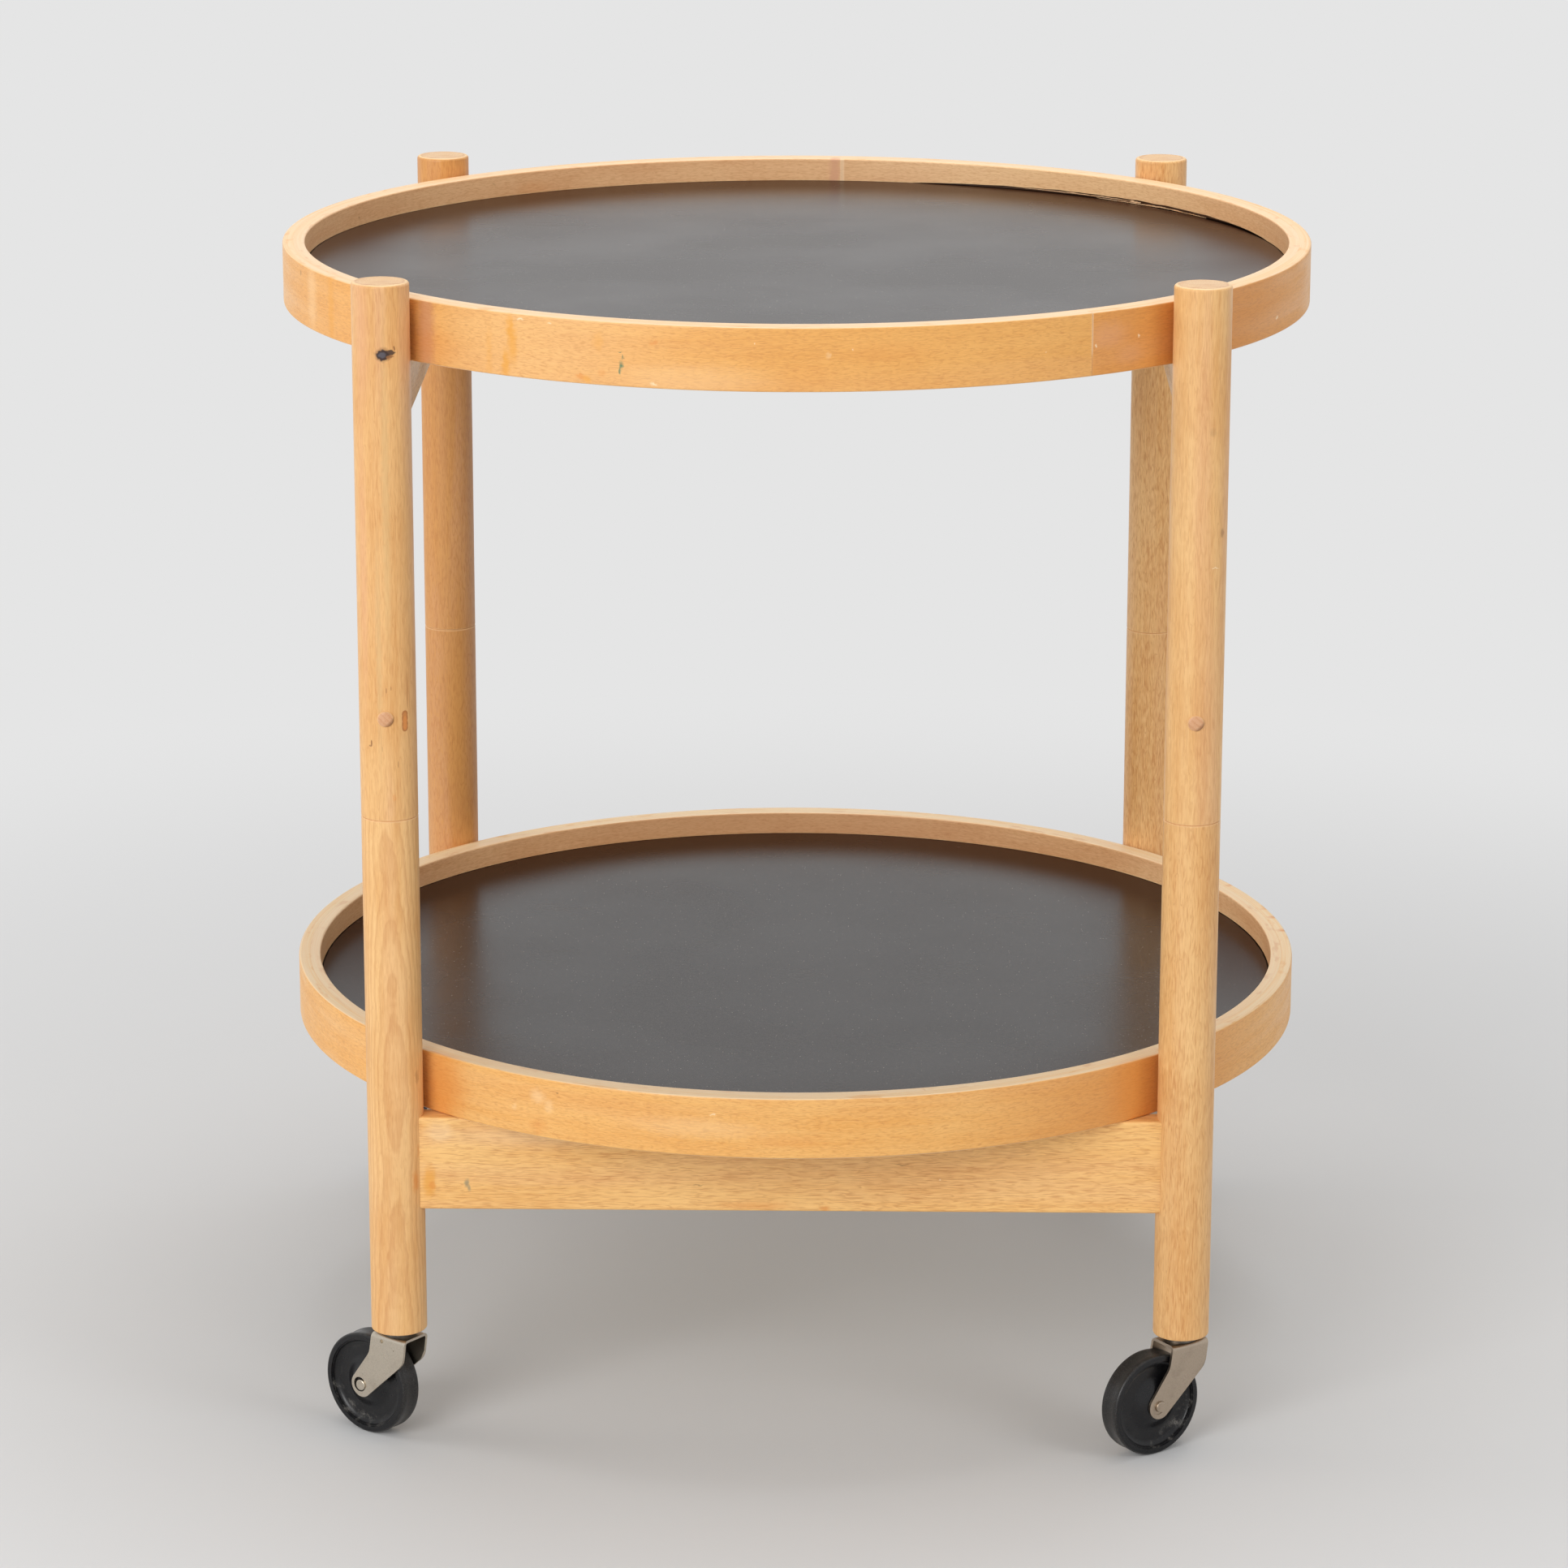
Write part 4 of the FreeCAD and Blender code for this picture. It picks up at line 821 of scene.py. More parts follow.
# Marks on a hoop: heading in degrees, height, half length and half height in millimetres,
# colour and share
HOOP_MARKS = {
    "top_tray_outer_hoop": (
        (-155, 650, 11, 30, STRAW, 0.35), (-149.6, 648, 5.5, 40, OCHRE, 0.55),
        # At -131.6 and -131.8 the front left leg's shadow is painted on the rim; at -136 painted
        # light lifts the shade where the leg meets it
        (-158.9, 660, 1.8, 3, KNOT_AND_SHADE_BROWN, 0.6), (-131.6, 647, 10, 60, PAINTED_LEG_SHADOW, 0.85),
        (-131.8, 647, 7.5, 60, PAINTED_LEG_SHADOW, 0.6), (-136, 647, 9, 60, PAINTED_CONTACT_LIGHT, 0.95),
        (-120.3, 657, 3.4, 11, OCHRE, 0.7), (-120, 648, 4.6, 15, OCHRE, 0.65),
        (-120.9, 637, 4, 12, OCHRE, 0.75), (-123, 641, 3, 22, OCHRE, 0.3),
        (-55, 652, 20, 11, PINK, 0.35), (-52, 640, 14, 9, PINK, 0.2),
        (-107.6, 649.4, 1.9, 0.6, GREEN_INK, 0.8), (-107.3, 646.5, 0.8, 2.6, GREEN_INK, 0.8),
        (-107.5, 641.6, 1.7, 3.6, GREEN_INK, 0.95), (-107.6, 638.6, 1.2, 2.2, GREEN_INK, 0.9),
        (-112, 634.5, 5, 2.2, AMBER, 0.6), (-109.6, 637, 3, 3, AMBER, 0.35),
        (-104, 655, 3, 2.4, AMBER, 0.5), (-119, 662.8, 3.4, 1, PALE_SCUFF_AND_HIGHLIGHT, 0.8),
        (-115.5, 662, 2, 1, PALE_SCUFF_AND_HIGHLIGHT, 0.6), (-104, 633, 3, 1.2, PALE_SCUFF_AND_HIGHLIGHT, 0.7),
        (-93.5, 657, 0.9, 0.9, PALE_SCUFF_AND_HIGHLIGHT, 0.7), (-83.5, 653.6, 0.8, 0.9, PALE_SCUFF_AND_HIGHLIGHT, 0.9),
        (-86, 650, 1.6, 2.6, PALE_SCUFF_AND_HIGHLIGHT, 0.25), (-62.6, 646, 0.8, 0.9, PALE_SCUFF_AND_HIGHLIGHT, 0.8),
        (-56.5, 646.7, 1.2, 0.9, PALE_SCUFF_AND_HIGHLIGHT, 0.9), (-50.8, 649.4, 1.6, 0.7, PALE_SCUFF_AND_HIGHLIGHT, 0.8),
        (-24.8, 640, 2.4, 1.2, PALE_SCUFF_AND_HIGHLIGHT, 0.8), (-131, 641, 34, 14, AMBER, 0.25),
        (-111.3, 633, 4, 3.4, OCHRE, 0.7), (-110, 654, 4.5, 7, OCHRE, 0.35),
        (-42, 647, 190, 120, DEEP_AMBER, 0.85), (168, 647, 190, 120, STRAW, 0.9),
        (-118, 652, 100, 60, STRAW, 0.3), (-100, 636, 60, 12, STRAW, 0.25),
        (-80, 652, 40, 9, DEEP_AMBER, 0.25), (-88, 640, 24, 8, DEEP_AMBER, 0.2),
    ),
    "top_tray_inner_hoop": (
        (158.4, 656.3, 1.2, 1.5, KNOT_AND_SHADE_BROWN, 0.7), (132, 660, 2.4, 1, KNOT_AND_SHADE_BROWN, 0.25),
        (126, 655, 18, 6, AMBER, 0.15), (124, 655, 150, 120, RUDDY, 0.1),
        (54, 655, 240, 120, STRAW, 0.55), (85.95, 655, 5, 40, PINK, 0.8),
    ),
    "lower_tray_outer_hoop": (
        (-131, 214, 26, 40, AMBER, 0.6), (-50, 214, 26, 40, AMBER, 0.5),
        (-118, 222, 7, 6, STRAW, 0.45), (-116.6, 217, 5, 6, STRAW, 0.35),
        (-121, 213, 3, 3, STRAW, 0.35), (-115.6, 225, 1.4, 1, KNOT_AND_SHADE_BROWN, 0.6),
        (-90, 208, 30, 6, AMBER, 0.25), (-100, 214, 60, 8, STRAW, 0.25),
        (-118, 204, 9, 6, AMBER, 0.35), (-98, 222, 2, 1, PALE_SCUFF_AND_HIGHLIGHT, 0.6),
        (24.5, 232.6, 3, 3, AMBER, 0.6), (10.6, 232.6, 5, 3, AMBER, 0.6),
        (5.2, 232.6, 4.5, 3, AMBER, 0.75), (14, 232.6, 3, 3, AMBER, 0.3),
        (-48, 214, 150, 120, DEEP_AMBER, 0.7), (172, 214, 130, 120, STRAW, 0.4),
    ),
    "lower_tray_inner_hoop": (
        (150, 224, 40, 9, PINK, 0.2), (95, 222, 220, 120, RUDDY, 0.45),
    ),
}

# Marks at least this tall tint the wood's tones, under its flecks; the painted shadow and light
# beside the front left leg are among them
TINT_HEIGHT = 50 * MM
HOOP_MARK_DEPTH = 8 * MM
HOOP_MARK_CORE = 0.15

# Waves a metre along, up and through a hoop
PLY_WAVES = (9, 250, 900)
BLOTCH_WAVES = (60, 200, 200)
PLY_LEVELS = (0.35, 0.7)
BLOTCH_LEVELS = (0.56, 0.72, 0, 0.5)
HOOP_RAGS, HOOP_RAG_REACH = 300, 5 * MM

# Glue at a butt joint: half width outside and inside, and the heights where it starts to show
OUTER_GLUE, INNER_GLUE = 0.8 * MM, 2 * MM
GLUE_STARTS, GLUE_FULL = 9 * MM, 15 * MM
GLUE_STRENGTH, GLUE_FAINTEST = 0.65, 0.2

# Painted shade in the groove behind the worn lip: depth into the hoop, and depth below its upper
# edge
GROOVE_SHADE_STARTS, GROOVE_SHADE_FULL = 0.5 * MM, 1.4 * MM
GROOVE_SHADE_HIGH, GROOVE_SHADE_LOW = 8 * MM, 9.4 * MM


def hoop_marks(node, joint, radius, face):
    """A hoop's marks on its visible face, as angle from its middle, height and radius."""
    marks = []
    for heading, height, half_length, half_height, tint, share in HOOP_MARKS[node]:
        turn = math.radians(heading) - joint + math.pi
        turn = (turn + math.pi) % FULL_TURN - math.pi
        radii = (half_length * MM / radius, half_height * MM, HOOP_MARK_DEPTH)
        marks.append(((turn, height * MM, face), radii, tint, share, HOOP_MARK_CORE))
    return marks


def hoop_tones(level, outer, settings, wood):
    """Pale and deep tone of a hoop, and how strongly it is flecked."""
    if not outer:
        return settings.inner_light, settings.inner_deep, 0.36
    light, deep = settings.outer_light, settings.outer_deep
    if level == "top":
        light, deep = blend(light, deep, 0.55), blend(deep, wood.fleck, 0.12)
    return light, deep, 0.42


def worn_lit_edge(board, grain, pale, light, deep):
    """Upper edge of a hoop: plies worn pale and painted paler as a highlight from above, with
    blotches of deeper wood.
    """
    plies = board.rise(board.noise(grain, PLY_WAVES, 2), *PLY_LEVELS)
    painted_light = board.mix(plies, solid(pale), solid(blend(pale, light, 0.5)))
    blotch = board.rise(board.noise(grain, BLOTCH_WAVES, 2), *BLOTCH_LEVELS)
    return board.mix(blotch, painted_light, solid(deep))


def joint_glue(board, angle, z, base, radius, outer):
    """Pale line of glue at the butt joint, on an outer hoop only in its upper part."""
    near_joint = board.math("SUBTRACT", math.pi, board.math("ABSOLUTE", angle))
    half_angle = (OUTER_GLUE if outer else INNER_GLUE) / radius
    glue = board.rise(near_joint, half_angle / 3, half_angle, GLUE_STRENGTH, 0)
    if outer:
        shows = board.rise(z, base + GLUE_STARTS, base + GLUE_FULL, GLUE_FAINTEST, 1)
        glue = board.math("MULTIPLY", glue, shows)
    return glue


def hoop_material(node, settings, wood, outer, joint):
    """Bent beech: the grain runs round the tray and starts at the hoop's joint."""
    material, board, shader = new_material(node + "_beech")
    low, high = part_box(node)
    level = node.split("_")[0]
    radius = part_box(level + "_tray_outer_hoop")[1].x
    inner_face = high.x - settings.layer
    x, y, z = board.separate(object_place(board))
    ahead, aside = turned(board, x, y, joint)
    angle = board.math("ARCTAN2", board.math("MULTIPLY", aside, -1),
                       board.math("MULTIPLY", ahead, -1))
    outward = board.vector("LENGTH", board.combine(x, y, 0))
    grain = board.combine(board.math("MULTIPLY", angle, radius), z, outward)
    light, deep, flecks = hoop_tones(level, outer, settings, wood)
    torn_place = board.ragged(board.combine(angle, z, outward),
                              (HOOP_RAGS * radius, HOOP_RAGS, HOOP_RAGS),
                              (HOOP_RAG_REACH / radius, HOOP_RAG_REACH, 0))
    marks = hoop_marks(node, joint, radius, high.x if outer else inner_face)
    tints = [mark for mark in marks if mark[1][1] >= TINT_HEIGHT]
    small_marks = [mark for mark in marks if mark[1][1] < TINT_HEIGHT]
    grown = beech(board, grain, lay_marks(board, torn_place, solid(light), tints),
                  lay_marks(board, torn_place, solid(deep), tints), wood, flecks=flecks,
                  fleck_size=HOOP_FLECKS, blushing=0.1, rings=0.04, ring_turn=0.25)
    # Painted light: upper edges are paler as if lit from above, the lower tray's paler still
    # against the top tray's shade
    pale = settings.rim_edge if level == "top" else blend(settings.rim_edge, PALE_SCUFF_AND_HIGHLIGHT, 0.6)
    color = board.mix(upward_share(board, *HOOP_EDGE_FACING), grown["Color"],
                      worn_lit_edge(board, grain, pale, light, deep))
    color = lay_marks(board, torn_place, color, small_marks)
    if node == WORN_HOOP:
        # Painted shade: the open groove behind the worn lip is darkened
        deep_in = board.rise(outward, inner_face + GROOVE_SHADE_STARTS, inner_face + GROOVE_SHADE_FULL)
        under = board.rise(z, high.z - GROOVE_SHADE_HIGH, high.z - GROOVE_SHADE_LOW)
        color = board.mix(board.math("MULTIPLY", deep_in, under), color, solid(wood.groove_shade))
    glue = joint_glue(board, angle, z, low.z, radius, outer)
    color = board.mix(glue, color, solid(settings.rim_edge))
    finish_wood(board, shader, color, grown, HOOP_ROUGHNESS)
    return material


def hoop_tree(name, grooved):
    """Section of a hoop swept round the tray, open by the width of its butt joint."""
    tree = bpy.data.node_groups.new(name, "GeometryNodeTree")
    lengths = ["Inner Radius", "Outer Radius", "Base", "Height", "Inner Round", "Outer Round",
               "Groove Low", "Groove High", "Groove Depth", "Joint Angle", "Joint Gap"]
    for label in lengths:
        tree.interface.new_socket(label, in_out="INPUT", socket_type="NodeSocketFloat")
    for label in ("Ring Steps", "Round Steps"):
        tree.interface.new_socket(label, in_out="INPUT", socket_type="NodeSocketInt")
    tree.interface.new_socket("Finish", in_out="INPUT", socket_type="NodeSocketMaterial")
    tree.interface.new_socket("Mesh", in_out="OUTPUT", socket_type="NodeSocketGeometry")
    board = Board(tree)
    given = board.add("NodeGroupInput").outputs
    made = board.add("NodeGroupOutput").inputs
    inner = 0.0
    outer = board.math("SUBTRACT", given["Outer Radius"], given["Inner Radius"])
    foot = board.math("MULTIPLY", given["Base"], -1)
    head = board.math("SUBTRACT", foot, given["Height"])
    corners = [(inner, foot, "Inner Round"), (outer, foot, "Outer Round"),
               (outer, head, "Outer Round"), (inner, head, "Inner Round")]
    if grooved:
        deep = given["Groove Depth"]
        low = board.math("MULTIPLY", given["Groove Low"], -1)
        high = board.math("MULTIPLY", given["Groove High"], -1)
        corners += [(inner, high, None), (deep, high, None), (deep, low, None), (inner, low, None)]
    places = board.add("GeometryNodeIndexSwitch", data_type="VECTOR")
    rounds = board.add("GeometryNodeIndexSwitch", data_type="FLOAT")
    index = board.add("GeometryNodeInputIndex").outputs[0]
    while len(places.index_switch_items) < len(corners):
        places.index_switch_items.new()
        rounds.index_switch_items.new()
    board.feed(places.inputs["Index"], index)
    board.feed(rounds.inputs["Index"], index)
    for number, (across, up, softening) in enumerate(corners):
        board.feed(places.inputs[number + 1], board.combine(across, up, 0.0))
        board.feed(rounds.inputs[number + 1], given[softening] if softening else 0.0)
    points = board.add("GeometryNodePoints", {"Count": len(corners)})
    seated = board.add("GeometryNodeSetPosition", {"Geometry": points.outputs[0],
                                                  "Position": places.outputs[0]})
    curve = board.add("GeometryNodePointsToCurves", {"Points": seated.outputs[0]})
    closed = board.add("GeometryNodeSetSplineCyclic", {"Geometry": curve.outputs[0],
                                                      "Cyclic": True})
    section = board.add("GeometryNodeFilletCurve", {"Curve": closed.outputs[0],
                                                   "Radius": rounds.outputs[0]})
    section.mode = "POLY"
    board.feed(section.inputs["Count"], given["Round Steps"])
    gap_turn = board.math("DIVIDE", given["Joint Gap"], given["Outer Radius"])
    start = board.math("ADD", given["Joint Angle"], gap_turn)
    sweep = board.math("SUBTRACT", FULL_TURN, gap_turn)
    path = board.add("GeometryNodeCurveArc", {"Resolution": given["Ring Steps"],
                                              "Radius": given["Inner Radius"],
                                              "Start Angle": start, "Sweep Angle": sweep})
    upright = board.add("GeometryNodeSetCurveNormal", {"Curve": path.outputs[0]})
    upright.mode = "Z_UP"
    swept = board.add("GeometryNodeCurveToMesh", {"Curve": upright.outputs[0],
                                                 "Profile Curve": section.outputs[0],
                                                 "Fill Caps": True})
    smooth = board.add("GeometryNodeSetShadeSmooth", {"Geometry": swept.outputs[0]})
    real = board.add("GeometryNodeRealizeInstances", {"Geometry": smooth.outputs[0]})
    dressed = board.add("GeometryNodeSetMaterial", {"Geometry": real.outputs[0],
                                                   "Material": given["Finish"]})
    board.feed(made["Mesh"], dressed.outputs[0])


SHARP_DEGREES = 32


def outward_volume(mesh):
    """Signed volume: negative when the faces look inwards."""
    volume = 0.0
    for face in mesh.polygons:
        first = mesh.vertices[face.vertices[0]].co
        for one, other in zip(face.vertices[1:-1], face.vertices[2:]):
            volume += first.dot(mesh.vertices[one].co.cross(mesh.vertices[other].co))
    return volume / 6


def grow(name, tree, values):
    """Runs a tree and keeps its result as a plain mesh with its faces outwards."""
    piece = bpy.data.objects.new(name, bpy.data.meshes.new(name))
    bpy.context.scene.collection.objects.link(piece)
    modifier = piece.modifiers.new(name, "NODES")
    modifier.node_group = tree
    for item in tree.interface.items_tree:
        if item.item_type == "SOCKET" and item.in_out == "INPUT":
            modifier[item.identifier] = values[item.name]
    depsgraph = bpy.context.evaluated_depsgraph_get()
    mesh = bpy.data.meshes.new_from_object(piece.evaluated_get(depsgraph), depsgraph=depsgraph)
    piece.modifiers.remove(modifier)
    mesh.name = name
    piece.data = mesh
    if not mesh.polygons:
        raise RuntimeError(name + " came out empty")
    if outward_volume(mesh) < 0:
        mesh.flip_normals()
    return piece


def soften(piece):
    """Smooth shading that keeps flat faces flat and sharp edges sharp."""
    piece.data.polygons.foreach_set("use_smooth", [True] * len(piece.data.polygons))
    piece.data.set_sharp_from_angle(angle=math.radians(SHARP_DEGREES))
    weighted = piece.modifiers.new("Weighted normals", "WEIGHTED_NORMAL")
    weighted.keep_sharp = True


def from_shape(name, shape, material):
    """Turns a finished shape into an object with its material."""
    mesh = bpy.data.meshes.new(name)
    shape.to_mesh(mesh)
    shape.free()
    mesh.materials.append(material)
    piece = bpy.data.objects.new(name, mesh)
    bpy.context.scene.collection.objects.link(piece)
    return piece


def join_rings(shape, rings, closed=False):
    """Walls between rings of points that follow each other, and from the last to the first."""
    followers = rings[1:] + rings[:1] if closed else rings[1:]
    for ring, following in zip(rings, followers):
        for side in range(len(ring)):
            other = (side + 1) % len(ring)
            shape.faces.new((ring[side], ring[other], following[other], following[side]))


# The worn lip: how bluntly it swells, and its wear beside the full lift
LIP_BLUNTNESS = 0.7
LIP_WEAR, LIP_WAVER, LIP_WAVES = 0.95, 0.2, 22


def lift_lip(piece, settings, groove_high):
    """Lifts the hoop's lip off the board, unevenly, where the veneer is worn away."""
    for vertex in piece.data.vertices:
        heading = math.atan2(vertex.co.y, vertex.co.x)
        along = (heading - settings.lip_start) / (settings.lip_end - settings.lip_start)
        if 0 < along < 1 and abs(vertex.co.z - groove_high) < settings.seam_round:
            swell = math.sin(math.pi * along) ** LIP_BLUNTNESS
            wear = LIP_WEAR + LIP_WAVER * noise.noise(Vector((heading * LIP_WAVES, 0, 0)))
            vertex.co.z += settings.lip_lift * swell * wear


# Torn slivers: headings in degrees, middle above the board, height and depth in millimetres
SLIVERS = (
    (61, 44, 1.35, 0.4, 0.7),
    (50, 39.5, 0.35, 0.35, 0.9),
    (44.6, 42.7, 1.3, 1, 0.9),
    (42.5, 35, 0.7, 0.45, 0.8),
    (37, 30, 0.4, 0.3, 0.6),
)
SLIVER_STEPS = 36
# How rough a sliver is round the tray, how thin its tips are, and how far it strays
SLIVER_WAVES = 160
SLIVER_TIP = 0.12
SLIVER_HALF, SLIVER_ROUGH = 0.5, 0.3
SLIVER_RISE = 0.25 * MM
SLIVER_PROUD = 0.3 * MM


def make_slivers(settings, wood):
    """Torn strips of veneer that still hang in the gap under the worn lip."""
    inner_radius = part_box("top_tray_outer_hoop")[1].x - 2 * settings.layer
    board_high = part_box("top_tray_dark_laminate")[1].z
    shape = bmesh.new()
    for start, end, middle, height, depth in SLIVERS:
        rings = []
        for step in range(SLIVER_STEPS + 1):
            along = step / SLIVER_STEPS
            heading = math.radians(start + (end - start) * along)
            taper = SLIVER_TIP + (1 - SLIVER_TIP) * math.sin(math.pi * along) ** 0.5
            rough = noise.noise(Vector((heading * SLIVER_WAVES, middle, 0)))
            half_height = height * MM * taper * (SLIVER_HALF + SLIVER_ROUGH * rough)
            level = board_high + middle * MM + SLIVER_RISE * rough
            front = inner_radius - SLIVER_PROUD * (SLIVER_HALF + rough)
            back = front + depth * MM * taper
            rings.append([shape.verts.new((radius * math.cos(heading), radius * math.sin(heading),
                                           level + lift * half_height))
                          for radius, lift in ((front, -1), (back, -1), (back, 1), (front, 1))])
        join_rings(shape, rings)
        shape.faces.new(reversed(rings[0]))
        shape.faces.new(rings[-1])
    bmesh.ops.recalc_face_normals(shape, faces=shape.faces)
    material = raw_wood_material("torn_beech", settings.rim_edge, settings.inner_deep, wood)
    piece = from_shape("top_tray_slivers", shape, material)
    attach(piece, "top_tray")


def make_hoop(level, layer, settings, wood):
    """Sweeps one hoop round its tray in place of the frame's plain one."""
    node = level + "_tray_" + layer + "_hoop"
    outer = layer == "outer"
    low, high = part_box(level + "_tray_outer_hoop")
    board_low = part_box(level + "_tray_pale_laminate")[0].z
    board_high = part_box(level + "_tray_dark_laminate")[1].z
    joint = getattr(settings, layer + "_joint_" + level)
    glue_radius = high.x - settings.layer
    values = {
        "Inner Radius": glue_radius if outer else glue_radius - settings.layer,
        "Outer Radius": high.x if outer else glue_radius,
        "Base": low.z,
        "Height": high.z - low.z,
        "Inner Round": settings.seam_round if outer else settings.edge_round,
        "Outer Round": settings.edge_round if outer else settings.seam_round,
        "Groove Low": board_low,
        "Groove High": board_high,
        "Groove Depth": settings.groove_depth,
        "Joint Angle": joint,
        "Joint Gap": settings.joint_gap,
        "Ring Steps": settings.lip_steps if node == WORN_HOOP else settings.ring_steps,
        "Round Steps": settings.round_steps,
        "Finish": hoop_material(node, settings, wood, outer, joint),
    }
    tree = bpy.data.node_groups[layer.capitalize() + " hoop"]
    piece = grow(node + "_bent", tree, values)
    if node == WORN_HOOP:
        lift_lip(piece, settings, board_high)
    soften(piece)
    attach(piece, level + "_tray")
    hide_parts(node)


# Boards

LAMINATE_GREY = paint(66, 60, 58)
LAMINATE_GRIT = paint(104, 98, 96)
LINT = paint(200, 190, 178)
SCRATCH_GREY = paint(140, 128, 116)
# Dirt and painted contact shade at the foot of the hoop
RIM_DIRT_AND_SHADE = paint(22, 13, 9)
PALE_SHADE = paint(180, 168, 148)
PALE_SPECK = paint(120, 108, 92)

# Waves a metre in a board's faces
LAMINATE_CLOUDS = 9
LAMINATE_GRIT_WAVES = (1500, 900, 40)
LAMINATE_FINE_WAVES = (520, 420, 40)
LINT_WAVES = (190, 80, 0)
FINE_LINT_WAVES = (560, 260, 0)
BUNCH_WAVES = (16, 16, 0)
PALE_CLOUDS = 14
PALE_SPECK_WAVES = (700, 700, 40)
PALE_FINE_WAVES = (500, 500, 40)

# Lint: radius in its cell, and share of the cells that hold some
LINT_DOTS = (0.065, 0.22)
FINE_LINT_DOTS = (0.2, 0.3)

# Levels between which each noise takes hold, and the strengths that it goes between
FINE_LEVELS = (0.4, 0.7, 0, 0.5)
GRIT_LEVELS = (0.4, 0.75, 0, 0.42)
SCRATCH_LEVELS = (0.66, 0.74)
BUNCH_LEVELS = (0.62, 0.7)
PALE_CLOUD_LEVELS = (0.4, 0.75, 0, 0.4)
PALE_SPECK_LEVELS = (0.7, 0.78, 0, 0.3)

# Scratches: turn, and waves a metre along and across them
SCRATCHES = ((0.12, 26, 900), (-0.35, 34, 1100))
SCRATCH_STRENGTH = 0.16
LINT_STRENGTH = 0.5

# Band painted with the brown reflection of the hoop, its gloss lowered too: where it starts and is
# full, in from the hoop, its weight at the front, and the places from front to rear between which
# it grows
BAND_STARTS, BAND_FULL = 78 * MM, 20 * MM
BAND_FRONT_SHARE = 0.12
BAND_FRONT, BAND_REAR = -0.16, 0.06

# Dirt and painted shade along the hoop: waves a metre, how far its edge wavers, and where it starts
# and is full
DIRT_AND_SHADE_WAVES, DIRT_AND_SHADE_WAVER = 60, 1.6 * MM
DIRT_AND_SHADE_IN, DIRT_AND_SHADE_OUT = 0.7 * MM, 0.3 * MM

LAMINATE_INDEX = 1.38
BAND_INDEX_DROP = 0.27
DIRT_AND_SHADE_INDEX = 1.03
LAMINATE_ROUGHNESS = (0.235, 0.285)
PALE_ROUGHNESS = (0.32, 0.44)
SCRATCH_ROUGHER = 0.1
LAMINATE_RELIEF = 0.004 * MM


def laminate_material(settings):
    """Satin laminate: fine dust, a few scratches, and a band painted with the hoop's reflection.
    Dirt and painted shade darken a line along the hoop.
    """
    material, board, shader = new_material("dark_laminate_satin")
    place = object_place(board)
    cloud = board.noise(place, even(LAMINATE_CLOUDS), 3)
    lint = board.math("MAXIMUM", board.scattered(place, LINT_WAVES, *LINT_DOTS),
                      board.scattered(place, FINE_LINT_WAVES, *FINE_LINT_DOTS))
    grit = board.noise(place, LAMINATE_GRIT_WAVES, 1, 0.7)
    fine = board.noise(place, LAMINATE_FINE_WAVES, 4, 0.8)
    scratch = 0.0
    for turn, along, across in SCRATCHES:
        scratch = board.math("MAXIMUM", scratch, scratches(board, place, turn, along, across))
    color = board.mix(board.rise(fine, *FINE_LEVELS), solid(settings.laminate),
                      solid(LAMINATE_GREY))
    color = board.mix(board.rise(grit, *GRIT_LEVELS), color, solid(LAMINATE_GRIT))
    color = board.mix(board.math("MULTIPLY", lint, LINT_STRENGTH), color, solid(LINT))
    color = board.mix(board.math("MULTIPLY", scratch, SCRATCH_STRENGTH), color,
                      solid(SCRATCH_GREY))
    back = board.separate(place)[1]
    reach = board.from_axis(place)
    free_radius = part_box("top_tray_outer_hoop")[1].x - settings.layer * 2
    band = board.rise(reach, free_radius - BAND_STARTS, free_radius - BAND_FULL)
    painted_light = board.math("MULTIPLY", band,
                        board.rise(back, BAND_FRONT, BAND_REAR, BAND_FRONT_SHARE, 1))
    # Painted reflection: the hoop's brown reflection is painted into the band
    color = board.mix(painted_light, color, solid(settings.laminate_rim_reflection))
    # Dirt and painted contact shade along the foot of the hoop
    waver = board.math("MULTIPLY", board.noise(place, even(DIRT_AND_SHADE_WAVES), 2), DIRT_AND_SHADE_WAVER)
    dirt_and_shade = board.rise(board.math("ADD", reach, waver), free_radius - DIRT_AND_SHADE_IN,
                      free_radius + DIRT_AND_SHADE_OUT)
    color = board.mix(dirt_and_shade, color, solid(RIM_DIRT_AND_SHADE))
    board.feed(shader.inputs["Base Color"], color)
    rough = board.rise(cloud, *CLOUDY, *LAMINATE_ROUGHNESS)
    rough = board.math("ADD", rough, board.math("MULTIPLY", scratch, SCRATCH_ROUGHER))
    board.feed(shader.inputs["Roughness"], rough)
    index = board.math("SUBTRACT", LAMINATE_INDEX,
                       board.math("MULTIPLY", painted_light, BAND_INDEX_DROP))
    board.feed(shader.inputs["IOR"], board.rise(dirt_and_shade, 0, 1, index, DIRT_AND_SHADE_INDEX))
    bump(board, shader, fine, LAMINATE_RELIEF)
    return material


def scratches(board, place, turn, along, across):
    """Thin lines in one direction, in a few bunches."""
    x, y, z = board.separate(place)
    ahead, aside = turned(board, x, y, turn)
    lines = board.noise(board.combine(ahead, aside, z), (along, across, 0), 0)
    bunch = board.rise(board.noise(place, BUNCH_WAVES, 1), *BUNCH_LEVELS)
    return board.math("MULTIPLY", board.rise(lines, *SCRATCH_LEVELS), bunch)


